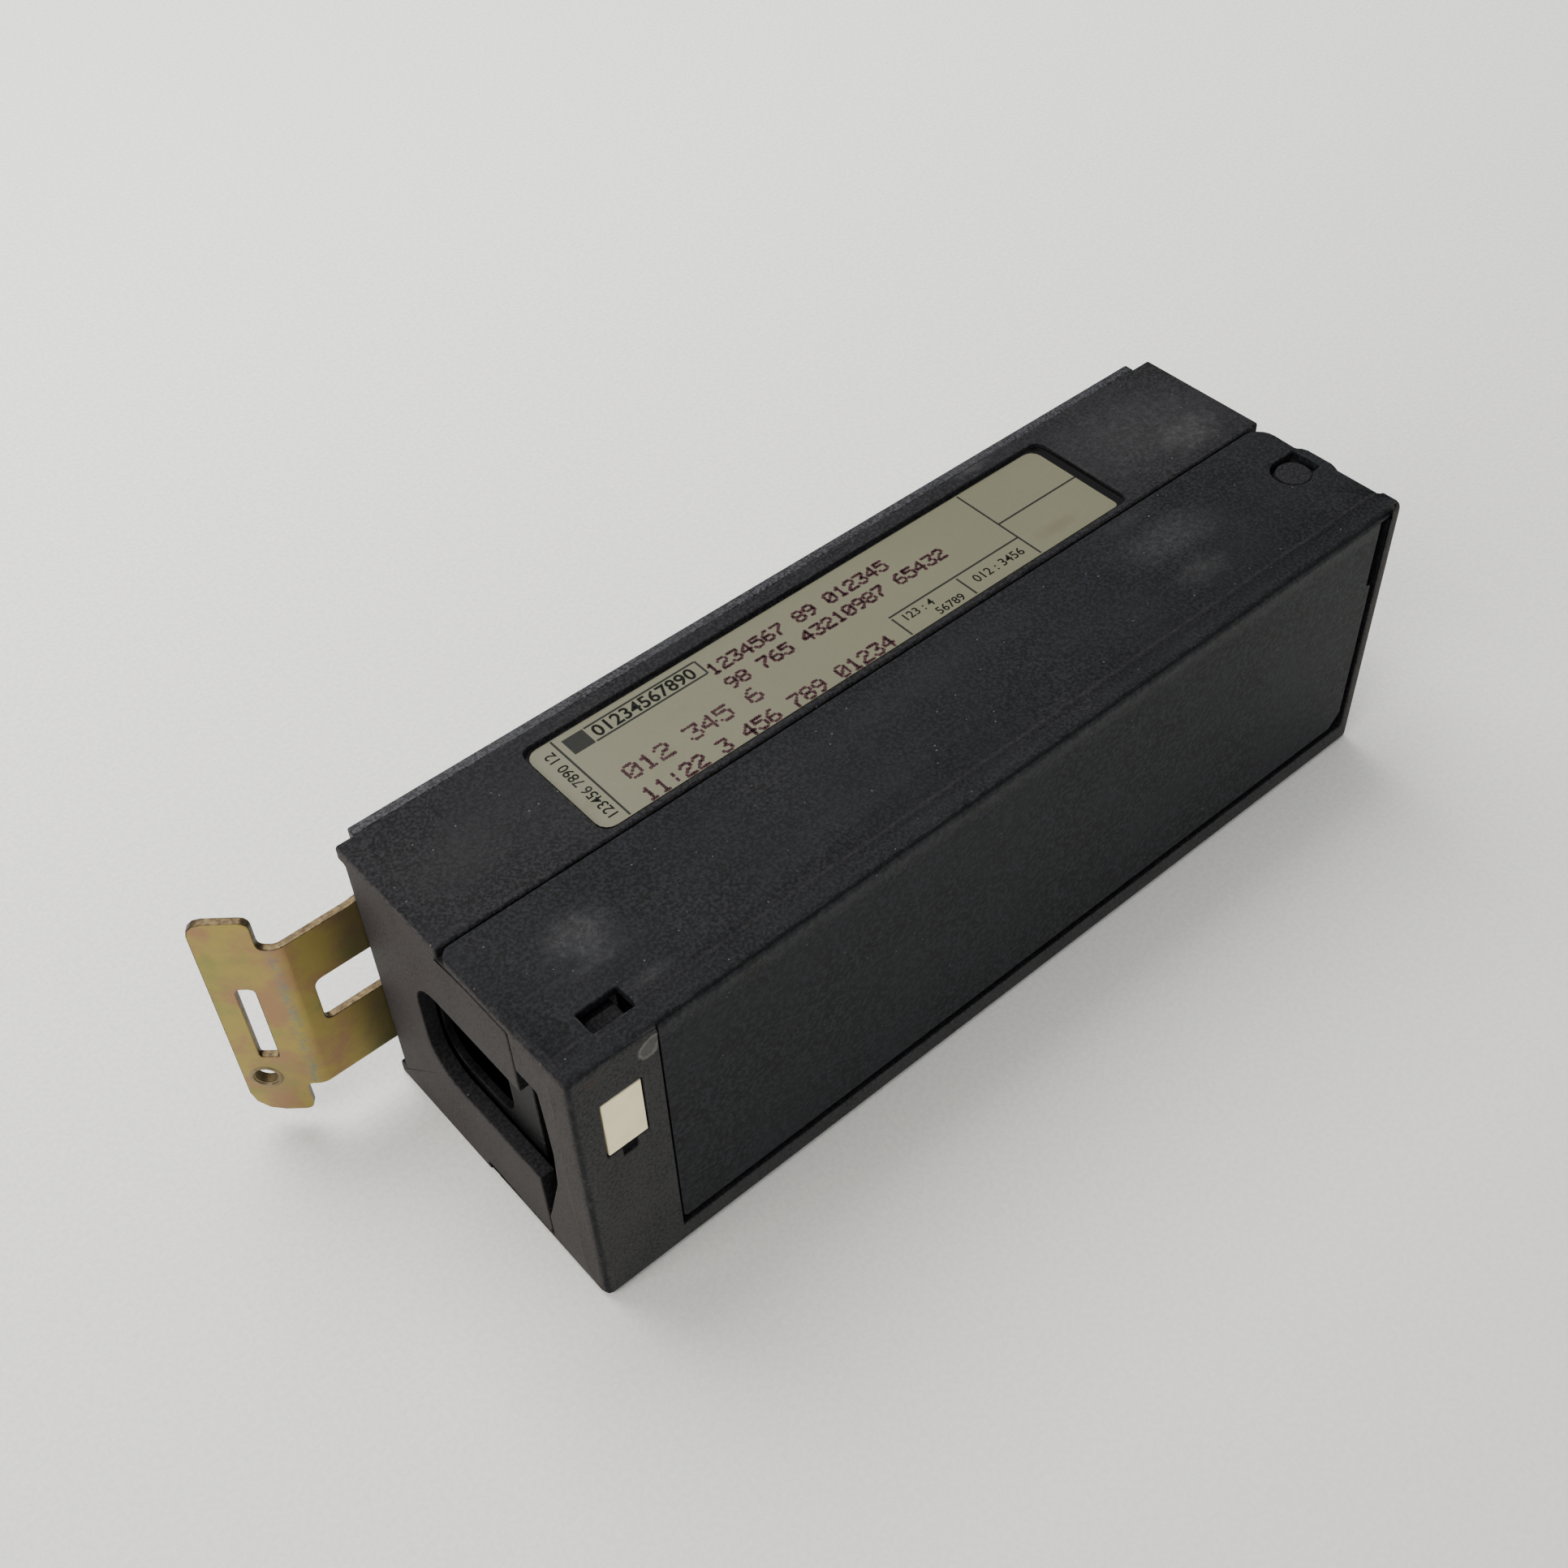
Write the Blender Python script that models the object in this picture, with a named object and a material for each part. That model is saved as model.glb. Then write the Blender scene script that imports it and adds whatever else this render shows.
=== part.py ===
"""Field-wiring terminal block of a programmable controller's I/O module.

The block lies on one side, as it is stored on a bench: a rear housing with the plug-in
connector base behind it, two stepped rows of screw terminals, a hinged front cover with a
legend flap, and a plated sheet-steel bracket at the cable end.

Sizes are in millimetres from the block's own corner: x from the cable end, y back from the
front face, z up from the resting side. place() turns them into metres in the part's frame,
whose origin is the middle of the rear housing's resting wall.
"""
import math

import bmesh
import bpy
from mathutils import Matrix, Vector

MM = 0.001

# Driving dimensions
LENGTH = 160.0              # cable end to far end
DEPTH = 52.0                # front face to the rear edge of the housing
HEIGHT = 52.0
ORIGIN_X = LENGTH / 2
ORIGIN_Y = 40.0
GAP = 0.3                   # between touching solids

# Rear housing
SEAM_Y = 28.1               # where the front cover meets the housing
HOUSING_WALL = 2.4
END_WALL = 2.5
INNER_LOW = 1.9             # housing parts inside the cover stay between these heights
INNER_HIGH = HEIGHT - INNER_LOW
NEAR_WALL_FRONT = 12.7
FAR_WALL_FRONT = 6.4
CABLE_LOW, CABLE_HIGH, CABLE_BACK = 16.2, 37.2, 38.3

# Front cover
COVER_WALL = 1.6
COVER_BACK = 27.7
COVER_FAR = 159.5
FLANGE_FAR = 161.0
FLANGE_DEPTH = 3.9
PLATE_FRONT, PLATE_BACK = 2.95, 4.2
PIVOT_X, PIVOT_Y = 154.0, 16.5
PIN_R, PIN_HOLE_R = 2.8, 3.3
LATCH_X, LATCH_Y = (7.4, 14.0), (4.2, 8.0)
ARM_Z = (47.6, 49.0)        # upper latch arm; the lower one is its mirror image
LIP_LOW = 48.7              # under side of the housing's upper lip, which goes inside the cover

# Legend flap
PLAIN_FAR = 14.0            # far end of the cover's plain front
FLAP_NEAR, FLAP_FAR = PLAIN_FAR + GAP, 157.0
FLAP_FRONT, FLAP_BACK = 0.2, 2.1
FLAP_BOTTOM = 5.9
HINGE_Y, HINGE_Z = 1.15, 50.0
BARREL_R = (FLAP_BACK - FLAP_FRONT) / 2

# Terminals
PITCH = 7.62
PER_ROW = 16
FIRST_X = 26.5
BARRIER = 1.2
ROWS = {"lower": {"z": 16.0, "front": 16.0}, "upper": {"z": 36.0, "front": 22.0}}
BODY_BACK = 43.7
BODY_Z = (3.4, 48.3)

# Connector base
BASE_X = (3.2, 157.0)
BASE_SCREW_X = (7.2, LENGTH - 7.2)
BASE_SCREW_Z = (5.0, HEIGHT - 5.0)
FLANGE_Y = (52.3, 54.2)
SOCKET_ROWS = (17.0, 35.0)
FIXING_X, FIXING_Z = 153.5, 26.0
FIXING_SEAT = 37.6          # front end of the tube that the captive screw runs in

# Cable bracket
SHEET = 1.3
BRACKET_FRONT = 50.4
BEND_ANGLE = math.radians(40)
BEND_START = 11.2           # distance out from the end wall
BEND_R = 3.0                # on the outer face of the sheet
LEG_SCREW_X, LEG_SCREW_Z = 18.0, (16.5, 36.7)
KEY_X = (14.0, 144.0)       # coding pegs

parts = bpy.data.collections.new("terminal_block")
tools = bpy.data.collections.new("cutters")


def place(x, y, z):
    """A point of the block, in metres in the part's frame."""
    return Vector(((x - ORIGIN_X) * MM, (y - ORIGIN_Y) * MM, z * MM))


def clear_scene():
    for obj in list(bpy.data.objects):
        bpy.data.objects.remove(obj, do_unlink=True)
    bpy.context.scene.collection.children.link(parts)
    bpy.context.scene.collection.children.link(tools)


def material(name, colour, roughness, metallic=0.0):
    mat = bpy.data.materials.new(name)
    mat.use_nodes = True
    shader = mat.node_tree.nodes["Principled BSDF"]
    shader.inputs["Base Color"].default_value = (*colour, 1.0)
    shader.inputs["Roughness"].default_value = roughness
    shader.inputs["Metallic"].default_value = metallic
    mat.diffuse_color = (*colour, 1.0)
    return mat


def add_object(name, mesh, collection, mat=None):
    obj = bpy.data.objects.new(name, mesh)
    collection.objects.link(obj)
    if mat:
        mesh.materials.clear()
        mesh.materials.append(mat)
    return obj


def tool(name, mesh):
    obj = add_object(name, mesh, tools)
    obj.hide_render = True
    obj.display_type = 'WIRE'
    return obj


def box_mesh(name, boxes, bevel=0.0):
    """Closed boxes, each ((x0, x1), (y0, y1), (z0, z1)), with their edges rounded by bevel."""
    bm = bmesh.new()
    for (x0, x1), (y0, y1), (z0, z1) in boxes:
        centre = place((x0 + x1) / 2, (y0 + y1) / 2, (z0 + z1) / 2)
        size = Vector((x1 - x0, y1 - y0, z1 - z0)) * MM
        bmesh.ops.create_cube(bm, size=1.0,
                              matrix=Matrix.Translation(centre) @ Matrix.Diagonal((*size, 1.0)))
    if bevel:
        bmesh.ops.bevel(bm, geom=bm.edges[:], offset=bevel * MM, segments=2, profile=0.5, affect='EDGES')
    mesh = bpy.data.meshes.new(name)
    bm.to_mesh(mesh)
    bm.free()
    return mesh


def rods_mesh(name, axis, rods, sides=20):
    """Closed rods along one axis, each (centre, radius, low, high)."""
    turn = {"x": Matrix.Rotation(math.pi / 2, 4, 'Y'), "y": Matrix.Rotation(-math.pi / 2, 4, 'X'),
            "z": Matrix.Identity(4)}[axis]
    bm = bmesh.new()
    for (a, b), radius, low, high in rods:
        middle = (low + high) / 2
        centre = {"x": (middle, a, b), "y": (a, middle, b), "z": (a, b, middle)}[axis]
        bmesh.ops.create_cone(bm, cap_ends=True, segments=sides, radius1=radius * MM, radius2=radius * MM,
                              depth=(high - low) * MM, matrix=Matrix.Translation(place(*centre)) @ turn)
    mesh = bpy.data.meshes.new(name)
    bm.to_mesh(mesh)
    bm.free()
    return mesh


def rounded(corners, steps=4):
    """Outline points of a polygon whose corners (a, b, radius) are rounded by arcs."""
    outline = []
    for i, (a, b, radius) in enumerate(corners):
        here = Vector((a, b))
        if radius == 0:
            outline.append(here)
            continue
        to_last = (Vector(corners[i - 1][:2]) - here).normalized()
        to_next = (Vector(corners[(i + 1) % len(corners)][:2]) - here).normalized()
        half = to_last.angle(to_next) / 2
        centre = here + (to_last + to_next).normalized() * (radius / math.sin(half))
        first = here + to_last * (radius / math.tan(half)) - centre
        last = here + to_next * (radius / math.tan(half)) - centre
        turn = first.angle_signed(last)
        for step in range(steps + 1):
            outline.append(centre + Matrix.Rotation(-turn * step / steps, 2) @ first)
    return outline


def slab_mesh(name, axis, outline, low, high):
    """A flat outline given thickness between low and high along an axis.

    The outline's two values are the other two coordinates in x, y, z order.
    """
    curve = bpy.data.curves.new(name, 'CURVE')
    curve.dimensions = '2D'
    curve.fill_mode = 'BOTH'
    curve.extrude = (high - low) / 2 * MM
    spline = curve.splines.new('POLY')
    spline.points.add(len(outline) - 1)
    for point, (a, b) in zip(spline.points, outline):
        point.co = (a * MM, b * MM, 0.0, 1.0)
    spline.use_cyclic_u = True
    guide = bpy.data.objects.new(name, curve)
    tools.objects.link(guide)
    bpy.context.view_layer.update()
    mesh = bpy.data.meshes.new_from_object(guide.evaluated_get(bpy.context.evaluated_depsgraph_get()))
    bpy.data.objects.remove(guide)
    middle = (low + high) / 2 * MM
    columns = {"z": ((1, 0, 0), (0, 1, 0), (0, 0, 1)), "y": ((1, 0, 0), (0, 0, 1), (0, 1, 0)),
               "x": ((0, 1, 0), (0, 0, 1), (1, 0, 0))}[axis]
    turn = Matrix(columns).transposed().to_4x4()
    shift = Matrix.Translation(place(0, 0, 0) + Vector(columns[2]) * middle)
    bm = bmesh.new()
    bm.from_mesh(mesh)
    bmesh.ops.transform(bm, matrix=shift @ turn, verts=bm.verts)
    bmesh.ops.remove_doubles(bm, verts=bm.verts, dist=1e-6)
    bmesh.ops.recalc_face_normals(bm, faces=bm.faces)
    bm.to_mesh(mesh)
    bm.free()
    mesh.name = name
    return mesh


def combine(obj, operation, *meshes):
    """Boolean steps on obj, one for each mesh."""
    for mesh in meshes:
        step = obj.modifiers.new(mesh.name, 'BOOLEAN')
        step.operation = operation
        step.solver = 'EXACT'
        step.object = tool(mesh.name + "_tool", mesh)


def smooth(obj):
    obj.data.shade_smooth()
    obj.data.set_sharp_from_angle(angle=math.radians(35))


def mirrored(low, high):
    """The same span of heights on the other side of the block."""
    return HEIGHT - high, HEIGHT - low


def make_screw(name, mat, axis_x, axis_z, tip, under_head, head_top, shank_r, head_r):
    """Head and shank joined, with a driver slot cut across the head."""
    way = math.copysign(1.0, tip - under_head)      # from the head to the tip
    head = rods_mesh(name + "_head", "y", [
        ((axis_x, axis_z), head_r, *sorted((under_head, head_top)))], sides=12)
    shank = rods_mesh(name + "_shank", "y", [
        ((axis_x, axis_z), shank_r, *sorted((under_head - 0.4 * way, tip)))], sides=8)
    slot = box_mesh(name + "_slot", [(
        (axis_x - head_r - 1, axis_x + head_r + 1), sorted((head_top - 1.0 * way, head_top + 0.8 * way)),
        (axis_z - 0.45, axis_z + 0.45))])
    screw = add_object(name, head, parts, mat)
    combine(screw, 'UNION', shank)
    combine(screw, 'DIFFERENCE', slot)
    return screw


def rear_housing(mat):
    """Deep tray that holds everything: back shell, two end walls, pivot pins and latch arms."""
    shell = box_mesh("rear_housing", [((0, LENGTH), (SEAM_Y, DEPTH), (0, HEIGHT))], bevel=0.4)
    housing = add_object("rear_housing", shell, parts, mat)
    hollow = box_mesh("housing_hollow", [((END_WALL, LENGTH - END_WALL), (SEAM_Y - 5, DEPTH + 5),
                                          (HOUSING_WALL, HEIGHT - HOUSING_WALL))])
    back_relief = box_mesh("end_wall_relief", [
        ((-1, END_WALL + 1), (50.1, DEPTH + 1), (HOUSING_WALL, HEIGHT - HOUSING_WALL)),
        ((LENGTH - END_WALL - 1, LENGTH + 1), (50.1, DEPTH + 1), (HOUSING_WALL, HEIGHT - HOUSING_WALL))])
    combine(housing, 'DIFFERENCE', hollow, back_relief)

    corner = 1.0
    near_wall = slab_mesh("near_end_wall", "x", rounded([
        (NEAR_WALL_FRONT, INNER_LOW, corner), (SEAM_Y + 3, INNER_LOW, 0), (SEAM_Y + 3, INNER_HIGH, 0),
        (NEAR_WALL_FRONT, INNER_HIGH, corner)], steps=2), 0, END_WALL)
    far_wall = slab_mesh("far_end_wall", "x", rounded([
        (FAR_WALL_FRONT, INNER_LOW, corner), (SEAM_Y + 3, INNER_LOW, 0), (SEAM_Y + 3, INNER_HIGH, 0),
        (FAR_WALL_FRONT, INNER_HIGH, corner)], steps=2), 157.3, 159.4)
    combine(housing, 'UNION', near_wall, far_wall)

    for side, (low, high) in (("top", (LIP_LOW, INNER_HIGH)), ("bottom", mirrored(LIP_LOW, INNER_HIGH))):
        lip = box_mesh("lip_" + side, [
            ((END_WALL - 1, LENGTH - END_WALL + 1), (24.0, SEAM_Y + 3), (low, high))])
        cheek = slab_mesh("pivot_cheek_" + side, "z", rounded([
            (147.0, SEAM_Y + 1, 0), (147.0, 11.5, 3), (158.3, 11.5, 0), (158.3, SEAM_Y + 1, 0)]), low, high)
        combine(housing, 'UNION', lip, cheek)
        arm_span = ARM_Z if side == "top" else mirrored(*ARM_Z)
        arm = box_mesh("latch_arm_" + side, [((7.9, 13.2), (5.0, 25.0), arm_span)])
        hook_profile = [(5.0, ARM_Z[1] - 0.4), (7.4, ARM_Z[1] - 0.4), (7.4, INNER_HIGH),
                        (5.4, INNER_HIGH - 1)]
        if side == "bottom":
            hook_profile = [(y, HEIGHT - z) for y, z in hook_profile]
        hook = slab_mesh("latch_hook_" + side, "x", hook_profile, 8.1, 13.0)
        pin_span = (INNER_HIGH - 0.5, HEIGHT - 0.1)
        if side == "bottom":
            pin_span = mirrored(*pin_span)
        pin = rods_mesh("pivot_pin_" + side, "z", [((PIVOT_X, PIVOT_Y), PIN_R, *pin_span)], sides=28)
        combine(housing, 'UNION', arm, hook, pin)

    bosses = rods_mesh("screw_bosses", "y", [((x, z), 3.2, 33.0, 51.9)
                                             for x in BASE_SCREW_X for z in BASE_SCREW_Z], sides=16)
    pilots = rods_mesh("screw_pilots", "y", [((x, z), 1.6, 42.0, 56.0)
                                             for x in BASE_SCREW_X for z in BASE_SCREW_Z], sides=12)
    combine(housing, 'UNION', bosses)

    radius = 6.5
    cable_slot = slab_mesh("cable_slot", "x", rounded([
        (NEAR_WALL_FRONT - 5, CABLE_LOW, 0), (CABLE_BACK, CABLE_LOW, radius),
        (CABLE_BACK, CABLE_HIGH, radius), (NEAR_WALL_FRONT - 5, CABLE_HIGH, 0)], steps=6), -2, END_WALL + 0.4)
    recess = slab_mesh("label_recess", "z", rounded([
        (28.3, 29.3, 1.5), (130.8, 29.3, 1.5), (130.8, 49.3, 1.5), (28.3, 49.3, 1.5)], steps=2),
        HEIGHT - 1.1, HEIGHT + 1)
    combine(housing, 'DIFFERENCE', pilots, cable_slot, recess)
    smooth(housing)


def front_cover(mat):
    """Hood over the terminals: two side walls, a front frame for the flap, one end wall."""
    far_r, near_r, edge_r = 3.4, 2.0, 1.3
    envelope = box_mesh("front_cover", [((0, FLANGE_FAR), (0, 60), (0, HEIGHT))], bevel=edge_r)
    cover = add_object("front_cover", envelope, parts, mat)
    # the walls' far end bulges round the outer side of the pivot hole
    wall_outline = rounded([
        (-1, -1, 0), (COVER_FAR, -1, 0), (COVER_FAR, 11.8, 0), (160.5, 13.6, 0), (160.5, 18.4, 0),
        (COVER_FAR - 0.3, 19.9, 0), (COVER_FAR, COVER_BACK, far_r), (0, COVER_BACK, near_r), (0, 2, 0),
        (-1, 2, 0)], steps=5)
    top_wall = slab_mesh("side_wall_top", "z", wall_outline, HEIGHT - COVER_WALL, HEIGHT + 1)
    bottom_wall = slab_mesh("side_wall_bottom", "z", wall_outline, -1, COVER_WALL)
    near_wall = box_mesh("near_wall", [((-1, 1.9), (-1, 12.4), (0.5, HEIGHT - 0.5))])
    plain_front = box_mesh("plain_front", [((-1, PLAIN_FAR), (-1, PLATE_BACK - 0.3), (-1, HEIGHT + 1))])
    plate = box_mesh("front_plate", [((0.5, COVER_FAR), (PLATE_FRONT, PLATE_BACK), (0.5, HEIGHT - 0.5))])
    rail = box_mesh("bottom_rail", [((-1, FLANGE_FAR + 1), (-1, PLATE_FRONT + 0.5), (-1, 4.3))])
    rim = box_mesh("far_rim", [((158.4, FLANGE_FAR + 1), (-1, FLANGE_DEPTH), (-1, HEIGHT + 1))])
    lip = box_mesh("top_lip", [((13, FLANGE_FAR + 1), (0.5, PLATE_FRONT + 0.5), (HEIGHT - 0.7, HEIGHT + 1))])
    frame = tool("cover_frame_tool", top_wall)
    combine(frame, 'UNION', bottom_wall, near_wall, plain_front, plate, rail, rim, lip)
    hinge_room = slab_mesh("hinge_room", "x", [
        (-2, 4.3), (PLATE_FRONT, 4.3), (PLATE_FRONT, HEIGHT - 0.7), (0.5, HEIGHT - 0.7), (0.5, HEIGHT + 2),
        (-2, HEIGHT + 2)], PLAIN_FAR, 158.4)
    combine(frame, 'DIFFERENCE', hinge_room)
    step = cover.modifiers.new("frame", 'BOOLEAN')
    step.operation = 'INTERSECT'
    step.solver = 'EXACT'
    step.object = frame

    cable_cut = slab_mesh("cover_cable_cut", "x", [
        (14, 42.4), (7.9, 42.4), (7.4, 35.7), (7.1, 29.1), (7.9, 20.9), (11.7, 9.0), (14, 2.5)], -2, 2.2)
    pin_holes = rods_mesh("pivot_holes", "z", [((PIVOT_X, PIVOT_Y), PIN_HOLE_R, -1, 3),
                                               ((PIVOT_X, PIVOT_Y), PIN_HOLE_R, 49, 53)], sides=32)
    entry = box_mesh("pin_entry", [((PIVOT_X, 158.4), (14.3, PIVOT_Y + PIN_HOLE_R - 0.05), span)
                                   for span in ((-1, 3), (49, 53))])
    windows = box_mesh("latch_windows", [(LATCH_X, LATCH_Y, span) for span in ((-1, 2.4), (49.6, 53))])
    marker_seat = box_mesh("marker_seat", [((4.1, 10.9), (-1, 1.3), (32.1, 43.7))])
    pry_notch = box_mesh("pry_notch", [((6.5, 8.9), (-1, 0.9), (30.1, 33.0))])
    hinge_holes = rods_mesh("flap_hinge_holes", "x", [((HINGE_Y, HINGE_Z), 0.85, 12.4, 15.0),
                                                      ((HINGE_Y, HINGE_Z), 0.85, 157.0, 160.2)], sides=12)
    combine(cover, 'DIFFERENCE', cable_cut, pin_holes, entry, windows, marker_seat, pry_notch,
            hinge_holes)
    smooth(cover)


def legend_flap(mat):
    """Flat lid over the wiring legend, hinged along its upper long edge by two moulded stubs."""
    outline = rounded([
        (FLAP_NEAR, FLAP_BOTTOM, 0.8), (FLAP_FAR - 2.2, FLAP_BOTTOM, 0), (FLAP_FAR, FLAP_BOTTOM + 2.6, 0),
        (FLAP_FAR, 37.0, 0), (FLAP_FAR - 1.1, 37.4, 0), (FLAP_FAR - 1.1, HINGE_Z, 0),
        (FLAP_NEAR, HINGE_Z, 0)], steps=2)
    panel = slab_mesh("legend_flap", "y", outline, FLAP_FRONT, FLAP_BACK)
    flap = add_object("legend_flap", panel, parts, mat)
    barrel = rods_mesh("flap_barrel", "x", [((HINGE_Y, HINGE_Z), BARREL_R, FLAP_NEAR, FLAP_FAR - 1.1)],
                       sides=16)
    stubs = rods_mesh("flap_stubs", "x", [((HINGE_Y, HINGE_Z), 0.6, 12.8, 15.5),
                                          ((HINGE_Y, HINGE_Z), 0.6, 155.0, 159.8)], sides=10)
    combine(flap, 'UNION', barrel, stubs)
    smooth(flap)


def cover_inserts(card, white):
    """The wiring legend card behind the flap, and the snap-in marker on the plain end."""
    add_object("legend_card", slab_mesh("legend_card", "y", rounded([
        (17.0, 8.0, 1.5), (153.0, 8.0, 1.5), (153.0, 47.0, 1.5), (17.0, 47.0, 1.5)], steps=2), 2.4, 2.65),
        parts, card)
    add_object("marker_tile", box_mesh("marker_tile", [
        ((4.35, 10.65), (0.05, 1.0), (32.35, 43.45))], bevel=0.15), parts, white)


def rating_label(mat):
    """Printed sticker in the recess of the housing's upper wall."""
    add_object("rating_label", slab_mesh("rating_label", "z", rounded([
        (28.7, 30.0, 2.2), (129.2, 30.0, 0.8), (129.2, 48.9, 2.0), (28.7, 48.9, 2.2)]),
        HEIGHT - 1.0, HEIGHT - 0.85), parts, mat)


def bend(mesh):
    """Bend the flat bracket towards the rear beyond BEND_START, about an upright axis."""
    centre_y = BRACKET_FRONT + BEND_R
    for vert in mesh.vertices:
        out = -(vert.co.x / MM + ORIGIN_X) - BEND_START
        if out <= 0:
            continue
        y = vert.co.y / MM + ORIGIN_Y
        angle = min(out / BEND_R, BEND_ANGLE)
        straight = max(0.0, out - BEND_R * BEND_ANGLE)
        radius = centre_y - y
        x = -BEND_START - radius * math.sin(angle) - straight * math.cos(angle)
        y = centre_y - radius * math.cos(angle) + straight * math.sin(angle)
        vert.co.x = (x - ORIGIN_X) * MM
        vert.co.y = (y - ORIGIN_Y) * MM


def cable_bracket(mat):
    """Plated sheet: two legs into the housing, a web, and a bent head with a slot and a tapped hole."""
    corner = BEND_START + BEND_R * math.tan(BEND_ANGLE / 2)
    ear_in, ear_out = -(corner + 2.7), -(corner + 11.5)
    flat = slab_mesh("bracket_flat", "y", rounded([
        (24.0, 10.2, 1.5), (24.0, 42.0, 1.5), (1.5, 42.0, 0), (-1.0, 41.6, 0), (ear_in, 41.6, 1.0),
        (ear_in, 47.4, 1.3), (ear_out, 47.4, 2.4), (ear_out, 3.8, 4.5), (ear_in, 3.8, 1.3),
        (ear_in, 10.2, 1.0)], steps=3), BRACKET_FRONT, BRACKET_FRONT + SHEET)
    flat_sheet = tool("bracket_flat_tool", flat)
    through = (BRACKET_FRONT - 2, BRACKET_FRONT + SHEET + 2)
    window = slab_mesh("bracket_window", "y", rounded([
        (-9.0, 22.7, 1.2), (12.0, 22.7, 1.2), (12.0, 31.5, 1.2), (-9.0, 31.5, 1.2)], steps=3), *through)
    slot = slab_mesh("bracket_slot", "y", rounded([
        (-(corner + 7.9), 17.2, 0.4), (-(corner + 5.1), 17.2, 0.4), (-(corner + 5.1), 33.0, 0.8),
        (-(corner + 7.9), 33.0, 0.8)], steps=2), *through)
    holes = rods_mesh("bracket_holes", "y", [
        (centre, 1.9, *through)
        for centre in ((-(corner + 8.1), 12.3), *((LEG_SCREW_X, z) for z in LEG_SCREW_Z))])
    combine(flat_sheet, 'DIFFERENCE', window, slot, holes)
    bpy.context.view_layer.update()
    mesh = bpy.data.meshes.new_from_object(flat_sheet.evaluated_get(bpy.context.evaluated_depsgraph_get()))
    bpy.data.objects.remove(flat_sheet)
    bm = bmesh.new()
    bm.from_mesh(mesh)
    steps = 6
    for step in range(steps + 1):
        out = BEND_START + BEND_R * BEND_ANGLE * step / steps
        bmesh.ops.bisect_plane(bm, geom=bm.verts[:] + bm.edges[:] + bm.faces[:],
                               plane_co=place(-out, 0, 0), plane_no=(1, 0, 0))
    bmesh.ops.triangulate(bm, faces=bm.faces)
    bm.to_mesh(mesh)
    bm.free()
    bend(mesh)
    bracket = add_object("cable_bracket", mesh, parts, mat)
    smooth(bracket)


def cable_guide(mat):
    """Upright plate behind the cable opening, with a long hole that the wires pass through."""
    plate = slab_mesh("cable_guide", "x", rounded([
        (15.2, 8.8, 0), (47.5, 8.8, 1.0), (47.5, 43.2, 1.0), (19.5, 43.2, 1.0), (19.5, 35.0, 0),
        (15.2, 33.0, 0)], steps=2), 3.0, 4.4)
    guide = add_object("cable_guide", plate, parts, mat)
    hole = slab_mesh("guide_hole", "x", rounded([
        (22.0, 17.0, 4.5), (38.5, 17.0, 4.5), (38.5, 36.5, 4.5), (22.0, 36.5, 4.5)], steps=4), 1, 6)
    combine(guide, 'DIFFERENCE', hole)


def terminal_body(mat):
    """Moulded block in two steps, with barrier walls between neighbouring terminals."""
    near, far = FIRST_X - PITCH / 2 - 1.0, FIRST_X + PITCH * (PER_ROW - 0.5) + 1.0
    block = box_mesh("terminal_body", [((near, far), (ROWS["upper"]["front"], BODY_BACK), BODY_Z)])
    body = add_object("terminal_body", block, parts, mat)
    step = box_mesh("lower_step", [((near, far), (ROWS["lower"]["front"], BODY_BACK - 2), (BODY_Z[0], 26.0))])
    combine(body, 'UNION', step)
    barriers = []
    for row in ROWS.values():
        for i in range(PER_ROW + 1):
            x = FIRST_X + PITCH * (i - 0.5)
            barriers.append(((x - BARRIER / 2, x + BARRIER / 2), (row["front"] - 4.2, row["front"] + 3),
                             (row["z"] - 4.6, row["z"] + 4.6)))
    combine(body, 'UNION', box_mesh("barriers", barriers))
    holes = [((FIRST_X + PITCH * i, row["z"]), 1.9, row["front"] - 1, row["front"] + 9)
             for row in ROWS.values() for i in range(PER_ROW)]
    combine(body, 'DIFFERENCE', rods_mesh("terminal_holes", "y", holes, sides=8))


def terminal_screws(mat):
    for row_name, row in ROWS.items():
        for i in range(PER_ROW):
            number = i + 1 + (PER_ROW if row_name == "upper" else 0)
            make_screw("terminal_screw_%02d" % number, mat, FIRST_X + PITCH * i, row["z"],
                       tip=row["front"] + 7.5, under_head=row["front"] - 0.6, head_top=row["front"] - 2.6,
                       shank_r=1.5, head_r=2.8)


def number_strips(mat):
    """Clip-on strips that number the terminals, one along each row."""
    near, far = FIRST_X - PITCH / 2, FIRST_X + PITCH * (PER_ROW - 0.5)
    for row_name, (low, high) in (("lower", (4.6, 9.8)), ("upper", (42.2, 47.4))):
        front = ROWS[row_name]["front"]
        add_object("number_strip_" + row_name, box_mesh("number_strip_" + row_name, [
            ((near, far), (front - 1.5, front - 0.3), (low, high))]), parts, mat)


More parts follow.
